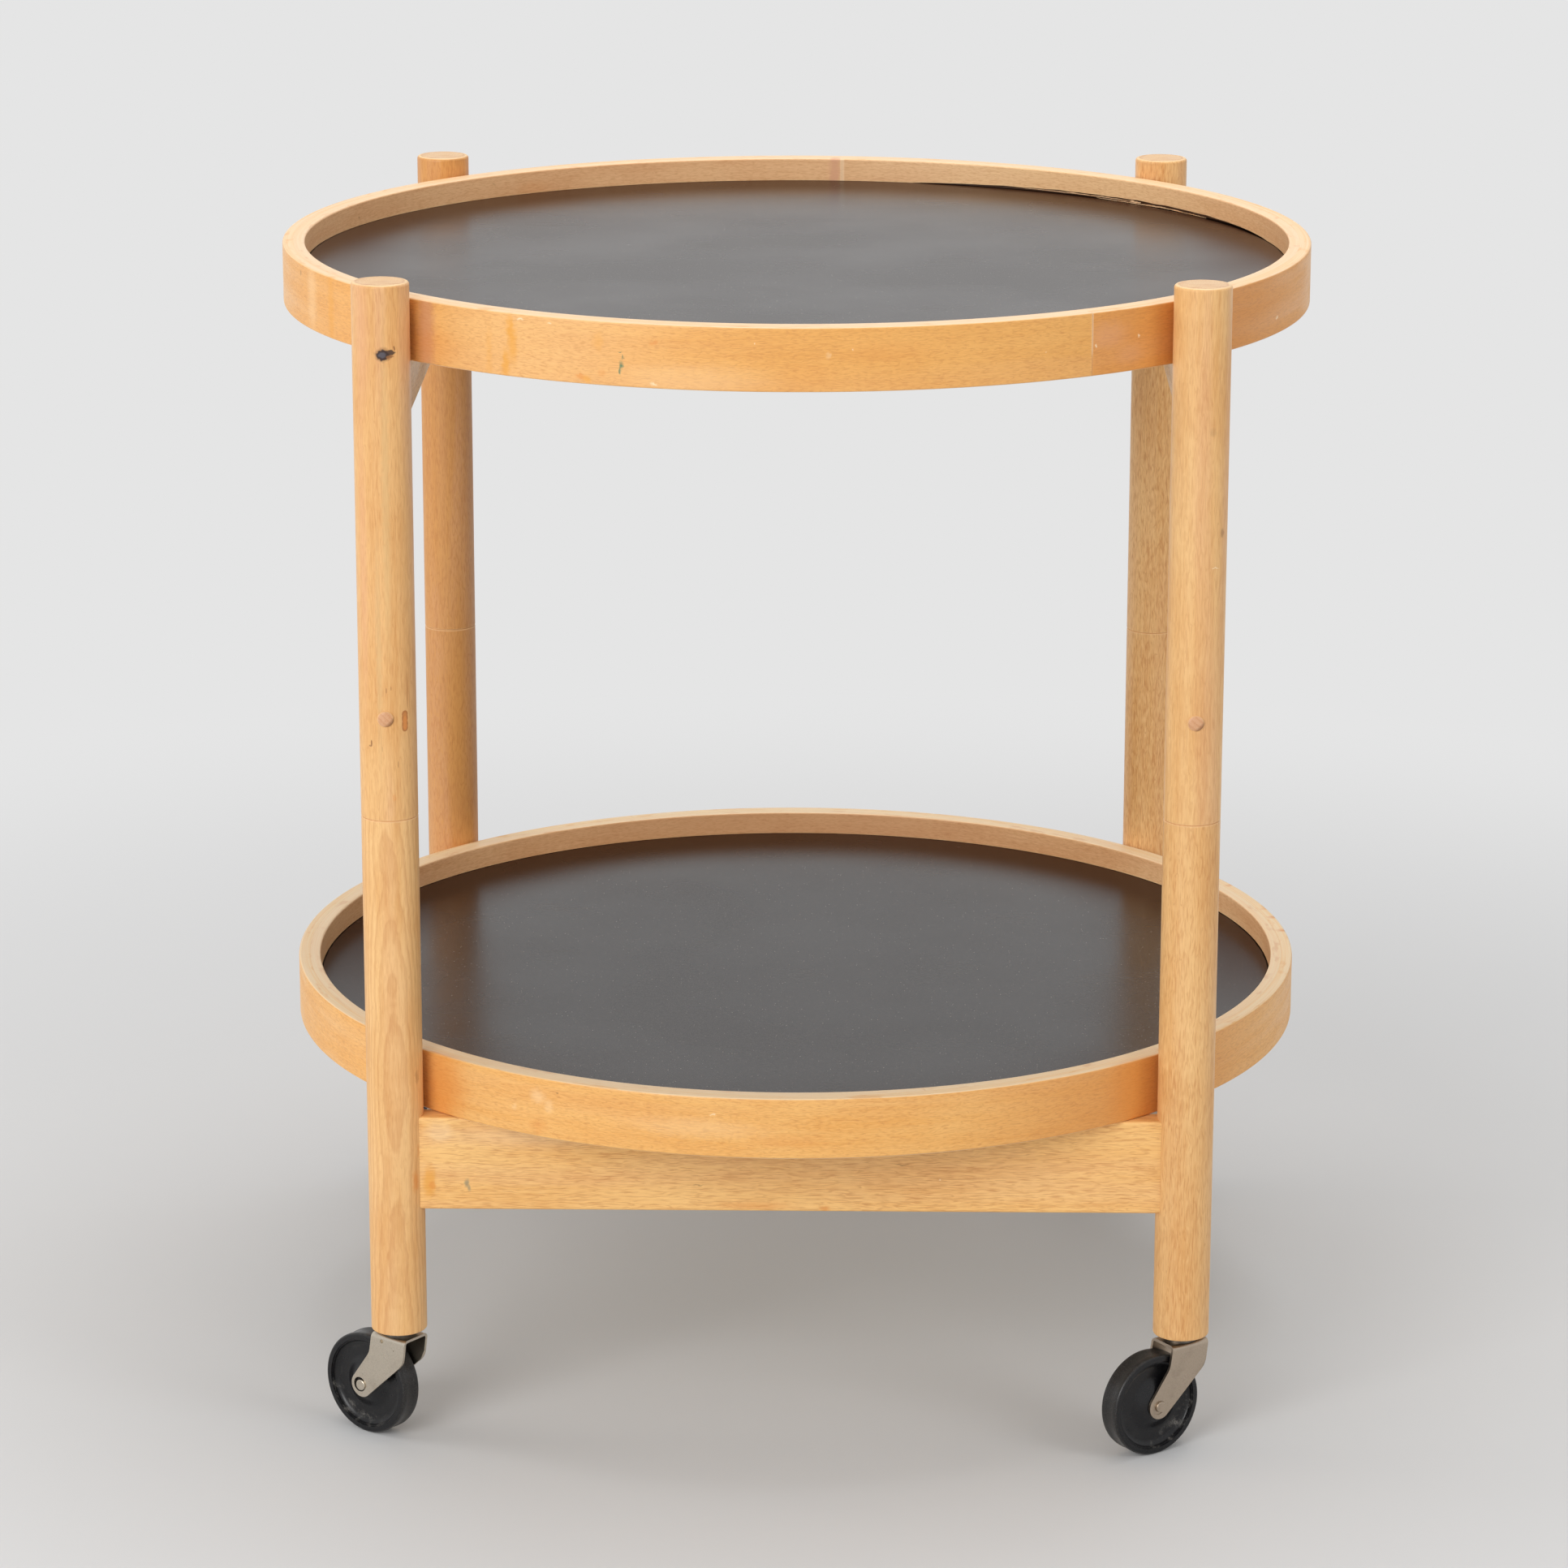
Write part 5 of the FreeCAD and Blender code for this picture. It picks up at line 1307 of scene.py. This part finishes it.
def pale_laminate_material(settings):
    """Pale laminate of a tray's other face, cloudy and specked."""
    material, board, shader = new_material("pale_laminate_satin")
    place = object_place(board)
    cloud = board.noise(place, even(PALE_CLOUDS), 3)
    shade = solid(blend(settings.pale_laminate, PALE_SHADE, 0.5))
    clouded = board.rise(cloud, *PALE_CLOUD_LEVELS)
    color = board.mix(clouded, solid(settings.pale_laminate), shade)
    speck = board.rise(board.noise(place, PALE_SPECK_WAVES, 1), *PALE_SPECK_LEVELS)
    color = board.mix(speck, color, solid(PALE_SPECK))
    board.feed(shader.inputs["Base Color"], color)
    board.feed(shader.inputs["Roughness"], board.rise(cloud, *CLOUDY, *PALE_ROUGHNESS))
    bump(board, shader, board.noise(place, PALE_FINE_WAVES, 2), LAMINATE_RELIEF)
    return material


# Casters

FORK_HALF_WIDTH = 10 * MM
DARK_SPOT = paint(120, 96, 66)
PALE_SPOT = paint(206, 184, 150)
ZINC_SHADE = paint(60, 52, 46)

# Marks on the front left fork, the pip as a brown ring round a pale middle and a small dark dot:
# along its trail from the axle, up, and radius in millimetres
FORK_SPOTS = (
    (-16.5, 30.6, 1.35, DARK_SPOT, 0.7),
    (-16.7, 30.8, 0.95, PALE_SPOT, 0.8),
    (-25.5, 26.8, 0.5, DARK_SPOT, 0.6),
)
FORK_SPOT_CORE = 0.7

# Waves a metre in the metals
NICKEL_CLOUDS, NICKEL_GRAIN, NICKEL_DOTS = 90, 1400, 260
ZINC_CLOUDS, ZINC_GRAIN = 160, 1600
NICKEL_STAINS = (0.5, 0.75, 0, 0.22)
NICKEL_SPECKS = (0.4, 0.7, 0, 0.16)
NICKEL_DOT = (0.1, 0.3)
NICKEL_DOT_STRENGTH = 0.4
ZINC_LEVELS = (0.4, 0.7)
NICKEL_ROUGHNESS = (0.27, 0.36)
ZINC_ROUGHNESS = (0.4, 0.55)
NICKEL_RELIEF = 0.006 * MM
ZINC_RELIEF = 0.008 * MM


def caster_lines(corner):
    """Wheel's middle, its axle's direction to the front, and the way in which it trails."""
    joint = JOINTS["wheel_spin_" + corner]
    hub = Vector(joint["pos_m"])
    axle = Vector(joint["axis"]).normalized()
    if axle.y > 0:
        axle = -axle
    low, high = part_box("lower_leg_" + corner)
    stem = (low + high) / 2
    trail = Vector((hub.x - stem.x, hub.y - stem.y, 0)).normalized()
    return hub, axle, trail


def nickel_material(corner, settings):
    """Satin nickel with a fine grain, tarnished dots, faint stains, and a few spots on the front
    left fork.
    """
    material, board, shader = new_material("worn_nickel_" + corner)
    place = object_place(board)
    cloud = board.noise(place, even(NICKEL_CLOUDS), 3)
    fine = board.noise(place, even(NICKEL_GRAIN), 2)
    tarnish = solid(settings.tarnish)
    plating = settings.nickel if corner == "front_left" else settings.dull_nickel
    color = board.mix(board.rise(cloud, *NICKEL_STAINS), solid(plating), tarnish)
    color = board.mix(board.rise(fine, *NICKEL_SPECKS), color, tarnish)
    dots = board.scattered(place, even(NICKEL_DOTS), *NICKEL_DOT)
    color = board.mix(board.math("MULTIPLY", dots, NICKEL_DOT_STRENGTH), color, tarnish)
    if corner == "front_left":
        hub, axle, trail = caster_lines(corner)
        for back, up, radius, tint, share in FORK_SPOTS:
            centre = hub + trail * (back * MM) + UPRIGHT * (up * MM) + axle * FORK_HALF_WIDTH
            inside = board.spot(place, centre, Vector(even(radius)) * MM, FORK_SPOT_CORE)
            color = board.mix(board.math("MULTIPLY", inside, share), color, solid(tint))
    finish_metal(board, shader, color, cloud, NICKEL_ROUGHNESS)
    bump(board, shader, fine, NICKEL_RELIEF)
    return material


def zinc_material(settings):
    """Dull zinc of the stems, races and sockets."""
    material, board, shader = new_material("dull_zinc")
    place = object_place(board)
    cloud = board.noise(place, even(ZINC_CLOUDS), 3)
    dark = solid(blend(settings.zinc, ZINC_SHADE, 0.6))
    color = board.mix(board.rise(cloud, *ZINC_LEVELS), solid(settings.zinc), dark)
    finish_metal(board, shader, color, cloud, ZINC_ROUGHNESS)
    bump(board, shader, board.noise(place, even(ZINC_GRAIN), 2), ZINC_RELIEF)
    return material


def finish_metal(board, shader, color, cloud, roughness):
    """Metal that is rougher in clouds."""
    board.feed(shader.inputs["Base Color"], color)
    shader.inputs["Metallic"].default_value = 1
    board.feed(shader.inputs["Roughness"], board.rise(cloud, *CLOUDY, *roughness))


# Where dust and scuffs lie on a wheel: share along the trail and upwards
WHEEL_WEAR = {
    "front_left": (0.55, -0.83),
    "front_right": (-0.75, -0.66),
    "rear_left": (0.4, -0.9),
    "rear_right": (-0.3, 0.95),
}

# Waves a metre in the wheels
WHEEL_CLOUDS, WHEEL_FINE, WHEEL_GRIT = 170, 1500, 2600
WHEEL_ROUGHNESS = (0.27, 0.36)
# Levels between which each noise takes hold, and the strengths that it goes between
WORN_WAY_LEVELS = (0.2, 0.75, 0.12, 1)
SCUFF_LEVELS = (0.48, 0.7, 0.02, 0.34)
DUST_LEVELS = (0.48, 0.68)
DUST_GRAIN = (0.35, 0.65, 0.25, 0.8)
HAZE_LEVELS = (0.45, 0.75)
ROUGH_LEVELS = (0.35, 0.65)
DUST_ROUGHER = 0.4
WHEEL_SHEEN = 0.4
WHEEL_RELIEF = 0.01 * MM
HAZE = 0.05

# Rings of a wheel that hold dust, as shares of its radius: starts, full, fades and gone
FOOT_SHARES = (0.66, 0.73, 0.73, 0.78)
LIP_SHARES = (0.8, 0.86, 0.87, 0.89)
BROAD_SHARES = (0.5, 0.74, 0.8, 0.86)
TREAD_SHARES = (0.955, 0.985)
# How much of the dish the dust covers between those rings
CLEAN_DISH, DUSTY_DISH = 0.35, 0.9


def wheel_ring(board, reach, shares):
    """1 in a ring of the wheel, fading on both sides."""
    starts, full, fades, gone = shares
    return board.math("MULTIPLY", board.rise(reach, starts, full), board.rise(reach, gone, fades))


def wheel_material(corner, settings):
    """Moulded wheel with a speckled tread and dust caught inside the rim."""
    material, board, shader = new_material("wheel_" + corner + "_moulded")
    hub, axle, trail = caster_lines(corner)
    low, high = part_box("caster_wheel_" + corner)
    radius = (high.z - low.z) / 2
    place = object_place(board)
    apart = board.vector("SUBTRACT", place, hub)
    beside = board.vector("DOT_PRODUCT", apart, axle)
    offset = board.vector("MULTIPLY", axle, board.combine(beside, beside, beside))
    outward = board.vector("SUBTRACT", apart, offset)
    reach = board.math("DIVIDE", board.vector("LENGTH", outward), radius)
    along, up = WHEEL_WEAR[corner]
    worn_way = (trail * along + UPRIGHT * up) / radius
    lean = board.rise(board.vector("DOT_PRODUCT", outward, worn_way), *WORN_WAY_LEVELS)
    cloud = board.noise(place, even(WHEEL_CLOUDS), 4, 0.65)
    fine = board.noise(place, even(WHEEL_FINE), 2, 0.6)
    grit = board.noise(place, even(WHEEL_GRIT), 2, 0.7)
    scuff = board.math("MULTIPLY", board.rise(reach, *TREAD_SHARES),
                       board.rise(grit, *SCUFF_LEVELS))
    edges = board.math("MAXIMUM", wheel_ring(board, reach, FOOT_SHARES),
                       wheel_ring(board, reach, LIP_SHARES))
    cover = CLEAN_DISH if corner == "front_left" else DUSTY_DISH
    broad = board.math("MULTIPLY", wheel_ring(board, reach, BROAD_SHARES), cover)
    dish = board.math("MAXIMUM", edges, broad)
    dust = board.math("MULTIPLY", board.math("MULTIPLY", dish, lean),
                      board.rise(cloud, *DUST_LEVELS))
    dust = board.math("MULTIPLY", dust, board.rise(fine, *DUST_GRAIN))
    haze = board.math("MULTIPLY", board.rise(fine, *HAZE_LEVELS), HAZE)
    share = board.math("MAXIMUM", board.math("MAXIMUM", scuff, dust), haze)
    color = board.mix(share, solid(settings.rubber), solid(settings.dust))
    board.feed(shader.inputs["Base Color"], color)
    rough = board.rise(cloud, *ROUGH_LEVELS, *WHEEL_ROUGHNESS)
    rough = board.math("ADD", rough, board.math("MULTIPLY", share, DUST_ROUGHER))
    board.feed(shader.inputs["Roughness"], rough)
    shader.inputs["Specular IOR Level"].default_value = WHEEL_SHEEN
    bump(board, shader, fine, WHEEL_RELIEF)
    return material


# Steps in a wheel's section: the hub's run-out, the dish's turn and the rounding of the tread
HUB_STEPS, DISH_STEPS, EDGE_STEPS = 14, 8, 6
HOLLOW_STARTS_SHARE = 0.7


def wheel_flank(settings, radius, hub_half):
    """Half the wheel's section as (radius, height over the middle), from the bore to the tread."""
    flank = [(settings.bore, hub_half), (settings.hub, hub_half)]
    for step in range(1, HUB_STEPS + 1):
        share = step / HUB_STEPS
        swell = (1 + math.cos(math.pi * share)) / 2
        flank.append((settings.hub + (settings.hub_foot - settings.hub) * share,
                      settings.dish_floor + (hub_half - settings.dish_floor) * swell))
    ledge_height = settings.rim_half - settings.ledge_drop
    for step in range(DISH_STEPS + 1):
        turn = step / DISH_STEPS * math.pi / 2
        flank.append((settings.dish_wall + (settings.ledge - settings.dish_wall) * math.sin(turn),
                      ledge_height - (ledge_height - settings.dish_floor) * math.cos(turn)))
    band = settings.ledge + settings.ledge_drop / 2
    flank += [(band, ledge_height), (band + settings.ledge_drop / 3, settings.rim_half)]
    for step in range(EDGE_STEPS + 1):
        turn = step / EDGE_STEPS * math.pi / 2
        flank.append((radius - settings.rim_round * (1 - math.sin(turn)),
                      settings.rim_half - settings.rim_round * (1 - math.cos(turn))))
    shoulder = settings.rim_half / 2
    flank += [(radius, shoulder),
              (radius - settings.tread_hollow, shoulder * HOLLOW_STARTS_SHARE),
              (radius - settings.tread_hollow, 0)]
    return flank


def make_wheel(corner, settings):
    """Turns the wheel's section about its axle."""
    node = "caster_wheel_" + corner
    hub, axle, trail = caster_lines(corner)
    low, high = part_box(node)
    hub_half = max(abs((vertex.co - hub).dot(axle)) for vertex in NODES[node].data.vertices)
    flank = wheel_flank(settings, (high.z - low.z) / 2, hub_half)
    section = flank + [(radius, -height) for radius, height in reversed(flank[:-1])]
    level = axle.cross(UPRIGHT)
    shape = bmesh.new()
    rings = []
    for step in range(settings.turn_steps):
        turn = FULL_TURN * step / settings.turn_steps
        spoke = UPRIGHT * math.cos(turn) + level * math.sin(turn)
        rings.append([shape.verts.new(hub + spoke * radius + axle * height)
                      for radius, height in section])
    join_rings(shape, rings, closed=True)
    bmesh.ops.recalc_face_normals(shape, faces=shape.faces)
    piece = from_shape(node + "_turned", shape, wheel_material(corner, settings))
    if outward_volume(piece.data) < 0:
        piece.data.flip_normals()
    soften(piece)
    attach(piece, "wheel_" + corner)
    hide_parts(node)


# The fork's two bent corners as drawn: along the trail from the axle, and up, in millimetres
FORK_CORNERS = ((-32.25, 19.5), (-6.55, 21.5))
FORK_CORNER_REACH = 4 * MM
FORK_CORNER_SWELL = 1.9
FLAT_DEGREES = 0.5
MERGE_REACH = 0.01 * MM


def make_fork(corner, material):
    """Copies the fork with wider curves where its arms change direction."""
    node = "caster_fork_" + corner
    hub, axle, trail = caster_lines(corner)
    shape = bmesh.new()
    shape.from_mesh(NODES[node].data)
    bmesh.ops.remove_doubles(shape, verts=shape.verts, dist=MERGE_REACH)
    bmesh.ops.dissolve_limit(shape, angle_limit=math.radians(FLAT_DEGREES), verts=shape.verts,
                             edges=shape.edges)
    swell = FORK_CORNER_SWELL - 1
    for vertex in shape.verts:
        apart = vertex.co - hub
        for back, up in FORK_CORNERS:
            off_back = apart.dot(trail) - back * MM
            off_up = apart.z - up * MM
            if math.hypot(off_back, off_up) < FORK_CORNER_REACH:
                vertex.co += trail * (off_back * swell) + UPRIGHT * (off_up * swell)
    bmesh.ops.triangulate(shape, faces=shape.faces)
    bmesh.ops.recalc_face_normals(shape, faces=shape.faces)
    piece = from_shape(node + "_stamped", shape, material)
    soften(piece)
    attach(piece, "caster_" + corner)
    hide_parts(node)


RELIEF_STEPS = 72


def make_relief(corner, material, settings):
    """Pressed crescent beside the axle's head, one on each arm."""
    hub, axle, trail = caster_lines(corner)
    top = FORK_HALF_WIDTH - settings.relief_sink
    foot = top - settings.relief_sink * 2
    shape = bmesh.new()
    for side in (1, -1):
        rings = []
        for step in range(RELIEF_STEPS):
            turn = FULL_TURN * step / RELIEF_STEPS
            spoke = trail * math.cos(turn) + UPRIGHT * math.sin(turn)
            reach = (settings.relief_shift * math.cos(turn)
                     + math.sqrt(settings.relief ** 2
                                 - (settings.relief_shift * math.sin(turn)) ** 2))
            inner = settings.relief_bore
            outer = max(reach, inner + MERGE_REACH)
            rings.append([shape.verts.new(hub + spoke * radius + axle * (side * height))
                          for radius, height in
                          ((inner, foot), (outer, foot), (outer, top), (inner, top))])
        join_rings(shape, rings, closed=True)
    bmesh.ops.recalc_face_normals(shape, faces=shape.faces)
    piece = from_shape("caster_relief_" + corner, shape, material)
    soften(piece)
    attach(piece, "caster_" + corner)


SHOULDER_STEPS = 96


def make_shoulder(corner, settings, material):
    """Disc between the two halves of a leg, a little in from their faces."""
    low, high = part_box("lower_leg_" + corner)
    upper_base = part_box("upper_leg_" + corner)[0].z
    radius = (high.x - low.x) / 2 - settings.split_sink
    middle = Vector(((low.x + high.x) / 2, (low.y + high.y) / 2, (high.z + upper_base) / 2))
    shape = bmesh.new()
    bmesh.ops.create_cone(shape, cap_ends=True, segments=SHOULDER_STEPS,
                          depth=upper_base - high.z, radius1=radius, radius2=radius,
                          matrix=Matrix.Translation(middle))
    bmesh.ops.recalc_face_normals(shape, faces=shape.faces)
    piece = from_shape("leg_shoulder_" + corner, shape, material)
    soften(piece)
    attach(piece, corner.split("_")[0] + "_frame")


# Section of a peg's worn end in millimetres: radius, and height over the leg's face
PEG_END = (
    (4.64, -1.4),
    (4.62, -0.3),
    (4.5, 0.2),
    (4.2, 0.58),
    (3.6, 0.88),
    (2.7, 1.08),
    (1.5, 1.21),
)
PEG_TOP = 1.26
PEG_STEPS = 48
# How uneven the worn end is, its lumps round the end, and how far each peg's wear is its own
PEG_WEAR, PEG_LUMPS, PEG_OWN_WEAR = 0.035, 1.4, 9


def make_peg_end(corner, material):
    """Worn, domed end that fills the peg's hole up to its edge."""
    low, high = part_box("pivot_peg_" + corner)
    leg_low, leg_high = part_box("upper_leg_" + corner)
    middle = (low + high) / 2
    front = leg_low.y - low.y > high.y - leg_high.y
    face = leg_low.y if front else leg_high.y
    way = -1 if front else 1
    shape = bmesh.new()
    rings = []
    for radius, height in PEG_END:
        ring = []
        for step in range(PEG_STEPS):
            turn = FULL_TURN * step / PEG_STEPS
            spoke = Vector((math.cos(turn), 0, math.sin(turn)))
            own_place = Vector((middle.x * PEG_OWN_WEAR, height, 0))
            uneven = 1 + PEG_WEAR * noise.noise(spoke * PEG_LUMPS + own_place)
            place = spoke * (radius * MM * uneven)
            ring.append(shape.verts.new((middle.x + place.x, face + way * height * MM,
                                         middle.z + place.z)))
        rings.append(ring)
    join_rings(shape, rings)
    top = shape.verts.new((middle.x, face + way * PEG_TOP * MM, middle.z))
    for side in range(PEG_STEPS):
        shape.faces.new((rings[-1][side], rings[-1][(side + 1) % PEG_STEPS], top))
    shape.faces.new(rings[0])
    bmesh.ops.recalc_face_normals(shape, faces=shape.faces)
    piece = from_shape("pivot_peg_end_" + corner, shape, material)
    soften(piece)
    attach(piece, corner.split("_")[1] + "_frame")


def dress(node, material):
    """Puts a material on a node of the frame."""
    piece = NODES[node]
    for slot in piece.material_slots:
        slot.material = material


# Stage

PHOTO_SIDE_PIXELS = 1932
SENSOR_WIDTH = 36
STAGE_RADIUS = 14
STAGE_STEPS = 96
# Between these distances the floor runs out into the background
NEAR_FLOOR, FAR_FLOOR = 0.55, 1.5
FLOOR_ROUGHNESS = 0.75

LAMP_TARGET = (0, 0, 0.4)
# Lamps: name, place, width, the setting that holds the power, and whether gloss mirrors it
LAMPS = (
    ("key", (-1.5, -2.7, 1.45), 1.9, "key_power", True),
    ("side", (-2.8, 0.3, 1.1), 1.4, "side_power", False),
    ("overhead", (0.2, 0.3, 2.6), 1.6, "top_power", True),
    ("fill", (2.4, -1.8, 1.6), 1.4, "fill_power", False),
)


def seen_directly(board):
    """1 for camera, glossy and transmission rays."""
    path = board.add("ShaderNodeLightPath").outputs
    seen = board.math("MAXIMUM", path["Is Camera Ray"], path["Is Glossy Ray"])
    return board.math("MAXIMUM", seen, path["Is Transmission Ray"])


def floor_material(settings):
    """Plain floor that runs out into the pale background."""
    material, board, shader = new_material("plain_floor")
    board.feed(shader.inputs["Base Color"], solid(settings.floor))
    shader.inputs["Roughness"].default_value = FLOOR_ROUGHNESS
    reach = board.from_axis(object_place(board))
    glow = board.add("ShaderNodeEmission", {"Color": solid(settings.wall), "Strength": 1})
    share = board.math("MULTIPLY", board.rise(reach, NEAR_FLOOR, FAR_FLOOR), seen_directly(board))
    joined = board.add("ShaderNodeMixShader", {0: share})
    board.feed(joined.inputs[1], shader.outputs[0])
    board.feed(joined.inputs[2], glow.outputs[0])
    output = board.add("ShaderNodeOutputMaterial", is_active_output=True)
    board.feed(output.inputs["Surface"], joined.outputs[0])
    return material


def make_floor(settings):
    """Round floor, wide enough to fill the view from any side."""
    shape = bmesh.new()
    bmesh.ops.create_circle(shape, cap_ends=True, segments=STAGE_STEPS, radius=STAGE_RADIUS)
    floor = from_shape("floor", shape, floor_material(settings))


def make_world(settings):
    """Even light, and the pale background that is seen directly."""
    world = bpy.data.worlds.new("studio")
    world.use_nodes = True
    world.node_tree.nodes.clear()
    board = Board(world.node_tree)
    seen = seen_directly(board)
    strength = board.math("ADD", settings.world_light,
                          board.math("MULTIPLY", seen, 1 - settings.world_light))
    light = board.add("ShaderNodeBackground", {"Color": solid(settings.wall), "Strength": strength})
    output = board.add("ShaderNodeOutputWorld")
    board.feed(output.inputs["Surface"], light.outputs[0])
    bpy.context.scene.world = world


def make_lamp(name, place, width, power, mirrored):
    """Round lamp aimed at the trolley's middle; one that isn't mirrored shows in no gloss."""
    lamp = bpy.data.lights.new(name, "AREA")
    lamp.shape = "DISK"
    lamp.size = width
    lamp.energy = power
    holder = bpy.data.objects.new(name, lamp)
    holder.location = place
    holder.visible_glossy = mirrored
    aim = Vector(LAMP_TARGET) - Vector(place)
    holder.rotation_euler = aim.to_track_quat("-Z", "Y").to_euler()
    bpy.context.scene.collection.objects.link(holder)


def make_camera(settings):
    """Camera as it was fitted to the photograph."""
    camera = bpy.data.cameras.new("photo_view")
    camera.sensor_width = SENSOR_WIDTH
    camera.lens = settings.lens_pixels * SENSOR_WIDTH / PHOTO_SIDE_PIXELS
    camera.clip_end = 2 * STAGE_RADIUS
    holder = bpy.data.objects.new("photo_view", camera)
    heading = Matrix.Rotation(settings.camera_turn, 4, "Z")
    tilt = Matrix.Rotation(math.pi / 2 - settings.camera_dip, 4, "X")
    roll = Matrix.Rotation(settings.camera_roll, 4, "Z")
    holder.matrix_world = Matrix.Translation(settings.camera_place) @ heading @ tilt @ roll
    bpy.context.scene.collection.objects.link(holder)
    bpy.context.scene.camera = holder


# Operators

class TROLLEY_OT_legs(bpy.types.Operator):
    """Give the leg halves, pegs and pivot dowels their beech"""
    bl_idname = "trolley.legs"
    bl_label = "Finish Legs"

    def execute(self, context):
        wood = context.scene.trolley_wood
        raw = raw_wood_material("raw_dowel", wood.end_grain, wood.leg_deep, wood)
        shaded = raw_wood_material("split_line_beech", wood.leg_deep, wood.fleck, wood)
        for corner in CORNERS:
            for half_leg in ("upper_leg_", "lower_leg_"):
                dress(half_leg + corner, leg_material(half_leg + corner, wood))
            peg = peg_material("pivot_peg_" + corner, wood)
            dress("pivot_peg_" + corner, peg)
            make_peg_end(corner, peg)
            dress("pivot_dowel_" + corner, raw)
            make_shoulder(corner, wood, shaded)
        return {"FINISHED"}


class TROLLEY_OT_rails(bpy.types.Operator):
    """Give the four rails and their dowels their beech"""
    bl_idname = "trolley.rails"
    bl_label = "Finish Rails"

    def execute(self, context):
        wood = context.scene.trolley_wood
        raw = raw_wood_material("raw_rail_dowel", wood.end_grain, wood.leg_deep, wood)
        for node in RAILS:
            dress(node, rail_material(node, wood))
            dress(node + "_dowels", raw)
        return {"FINISHED"}


class TROLLEY_OT_hoops(bpy.types.Operator):
    """Bend the outer and inner hoop of each tray"""
    bl_idname = "trolley.hoops"
    bl_label = "Bend Hoops"

    def execute(self, context):
        settings = context.scene.trolley_trays
        wood = context.scene.trolley_wood
        hoop_tree("Outer hoop", False)
        hoop_tree("Inner hoop", True)
        for level in LEVELS:
            make_hoop(level, "outer", settings, wood)
            make_hoop(level, "inner", settings, wood)
        make_slivers(settings, wood)
        return {"FINISHED"}


class TROLLEY_OT_boards(bpy.types.Operator):
    """Finish the laminated boards of both trays"""
    bl_idname = "trolley.boards"
    bl_label = "Finish Boards"

    def execute(self, context):
        settings = context.scene.trolley_trays
        wood = context.scene.trolley_wood
        dark = laminate_material(settings)
        pale = pale_laminate_material(settings)
        core = raw_wood_material("board_core", settings.core, wood.rail_deep, wood)
        for level in LEVELS:
            dress(level + "_tray_dark_laminate", dark)
            dress(level + "_tray_pale_laminate", pale)
            dress(level + "_tray_core_board", core)
        return {"FINISHED"}


class TROLLEY_OT_casters(bpy.types.Operator):
    """Finish the forks, stems, races and wheels"""
    bl_idname = "trolley.casters"
    bl_label = "Finish Casters"

    def execute(self, context):
        settings = context.scene.trolley_casters
        zinc = zinc_material(settings)
        for corner in CORNERS:
            nickel = nickel_material(corner, settings)
            make_fork(corner, nickel)
            dress("caster_fork_" + corner, nickel)
            dress("caster_axle_" + corner, nickel)
            if corner != "front_left":
                make_relief(corner, nickel, settings)
            for part in ("stem", "race", "socket"):
                dress("caster_" + part + "_" + corner, zinc)
            make_wheel(corner, settings)
        return {"FINISHED"}


class TROLLEY_OT_stage(bpy.types.Operator):
    """Set the floor, the light and the camera of the photograph"""
    bl_idname = "trolley.stage"
    bl_label = "Set Stage"

    def execute(self, context):
        settings = context.scene.trolley_stage
        make_floor(settings)
        make_world(settings)
        for name, place, width, power, mirrored in LAMPS:
            make_lamp(name, place, width, getattr(settings, power), mirrored)
        make_camera(settings)
        context.scene.view_settings.view_transform = "Standard"
        return {"FINISHED"}


class TROLLEY_PT_panel(bpy.types.Panel):
    """Operators that finish the trolley"""
    bl_idname = "TROLLEY_PT_panel"
    bl_label = "Serving Trolley"
    bl_space_type = "VIEW_3D"
    bl_region_type = "UI"
    bl_category = "Trolley"

    def draw(self, context):
        """Lists the operators in the order in which they run."""
        for operator in OPERATORS:
            self.layout.operator(operator.bl_idname)


OPERATORS = (
    TROLLEY_OT_legs,
    TROLLEY_OT_rails,
    TROLLEY_OT_hoops,
    TROLLEY_OT_boards,
    TROLLEY_OT_casters,
    TROLLEY_OT_stage,
)


def register():
    """Makes the settings, operators and panel known."""
    for name, group in SETTINGS.items():
        bpy.utils.register_class(group)
        setattr(bpy.types.Scene, name, PointerProperty(type=group))
    for operator in OPERATORS:
        bpy.utils.register_class(operator)
    bpy.utils.register_class(TROLLEY_PT_panel)


def unregister():
    """Takes away what register made known."""
    bpy.utils.unregister_class(TROLLEY_PT_panel)
    for operator in reversed(OPERATORS):
        bpy.utils.unregister_class(operator)
    for name, group in SETTINGS.items():
        delattr(bpy.types.Scene, name)
        bpy.utils.unregister_class(group)


def main():
    """Finishes the trolley piece by piece."""
    register()
    beech_group()
    bpy.ops.trolley.legs()
    bpy.ops.trolley.rails()
    bpy.ops.trolley.hoops()
    bpy.ops.trolley.boards()
    bpy.ops.trolley.casters()
    bpy.ops.trolley.stage()


if __name__ == "__main__":
    main()
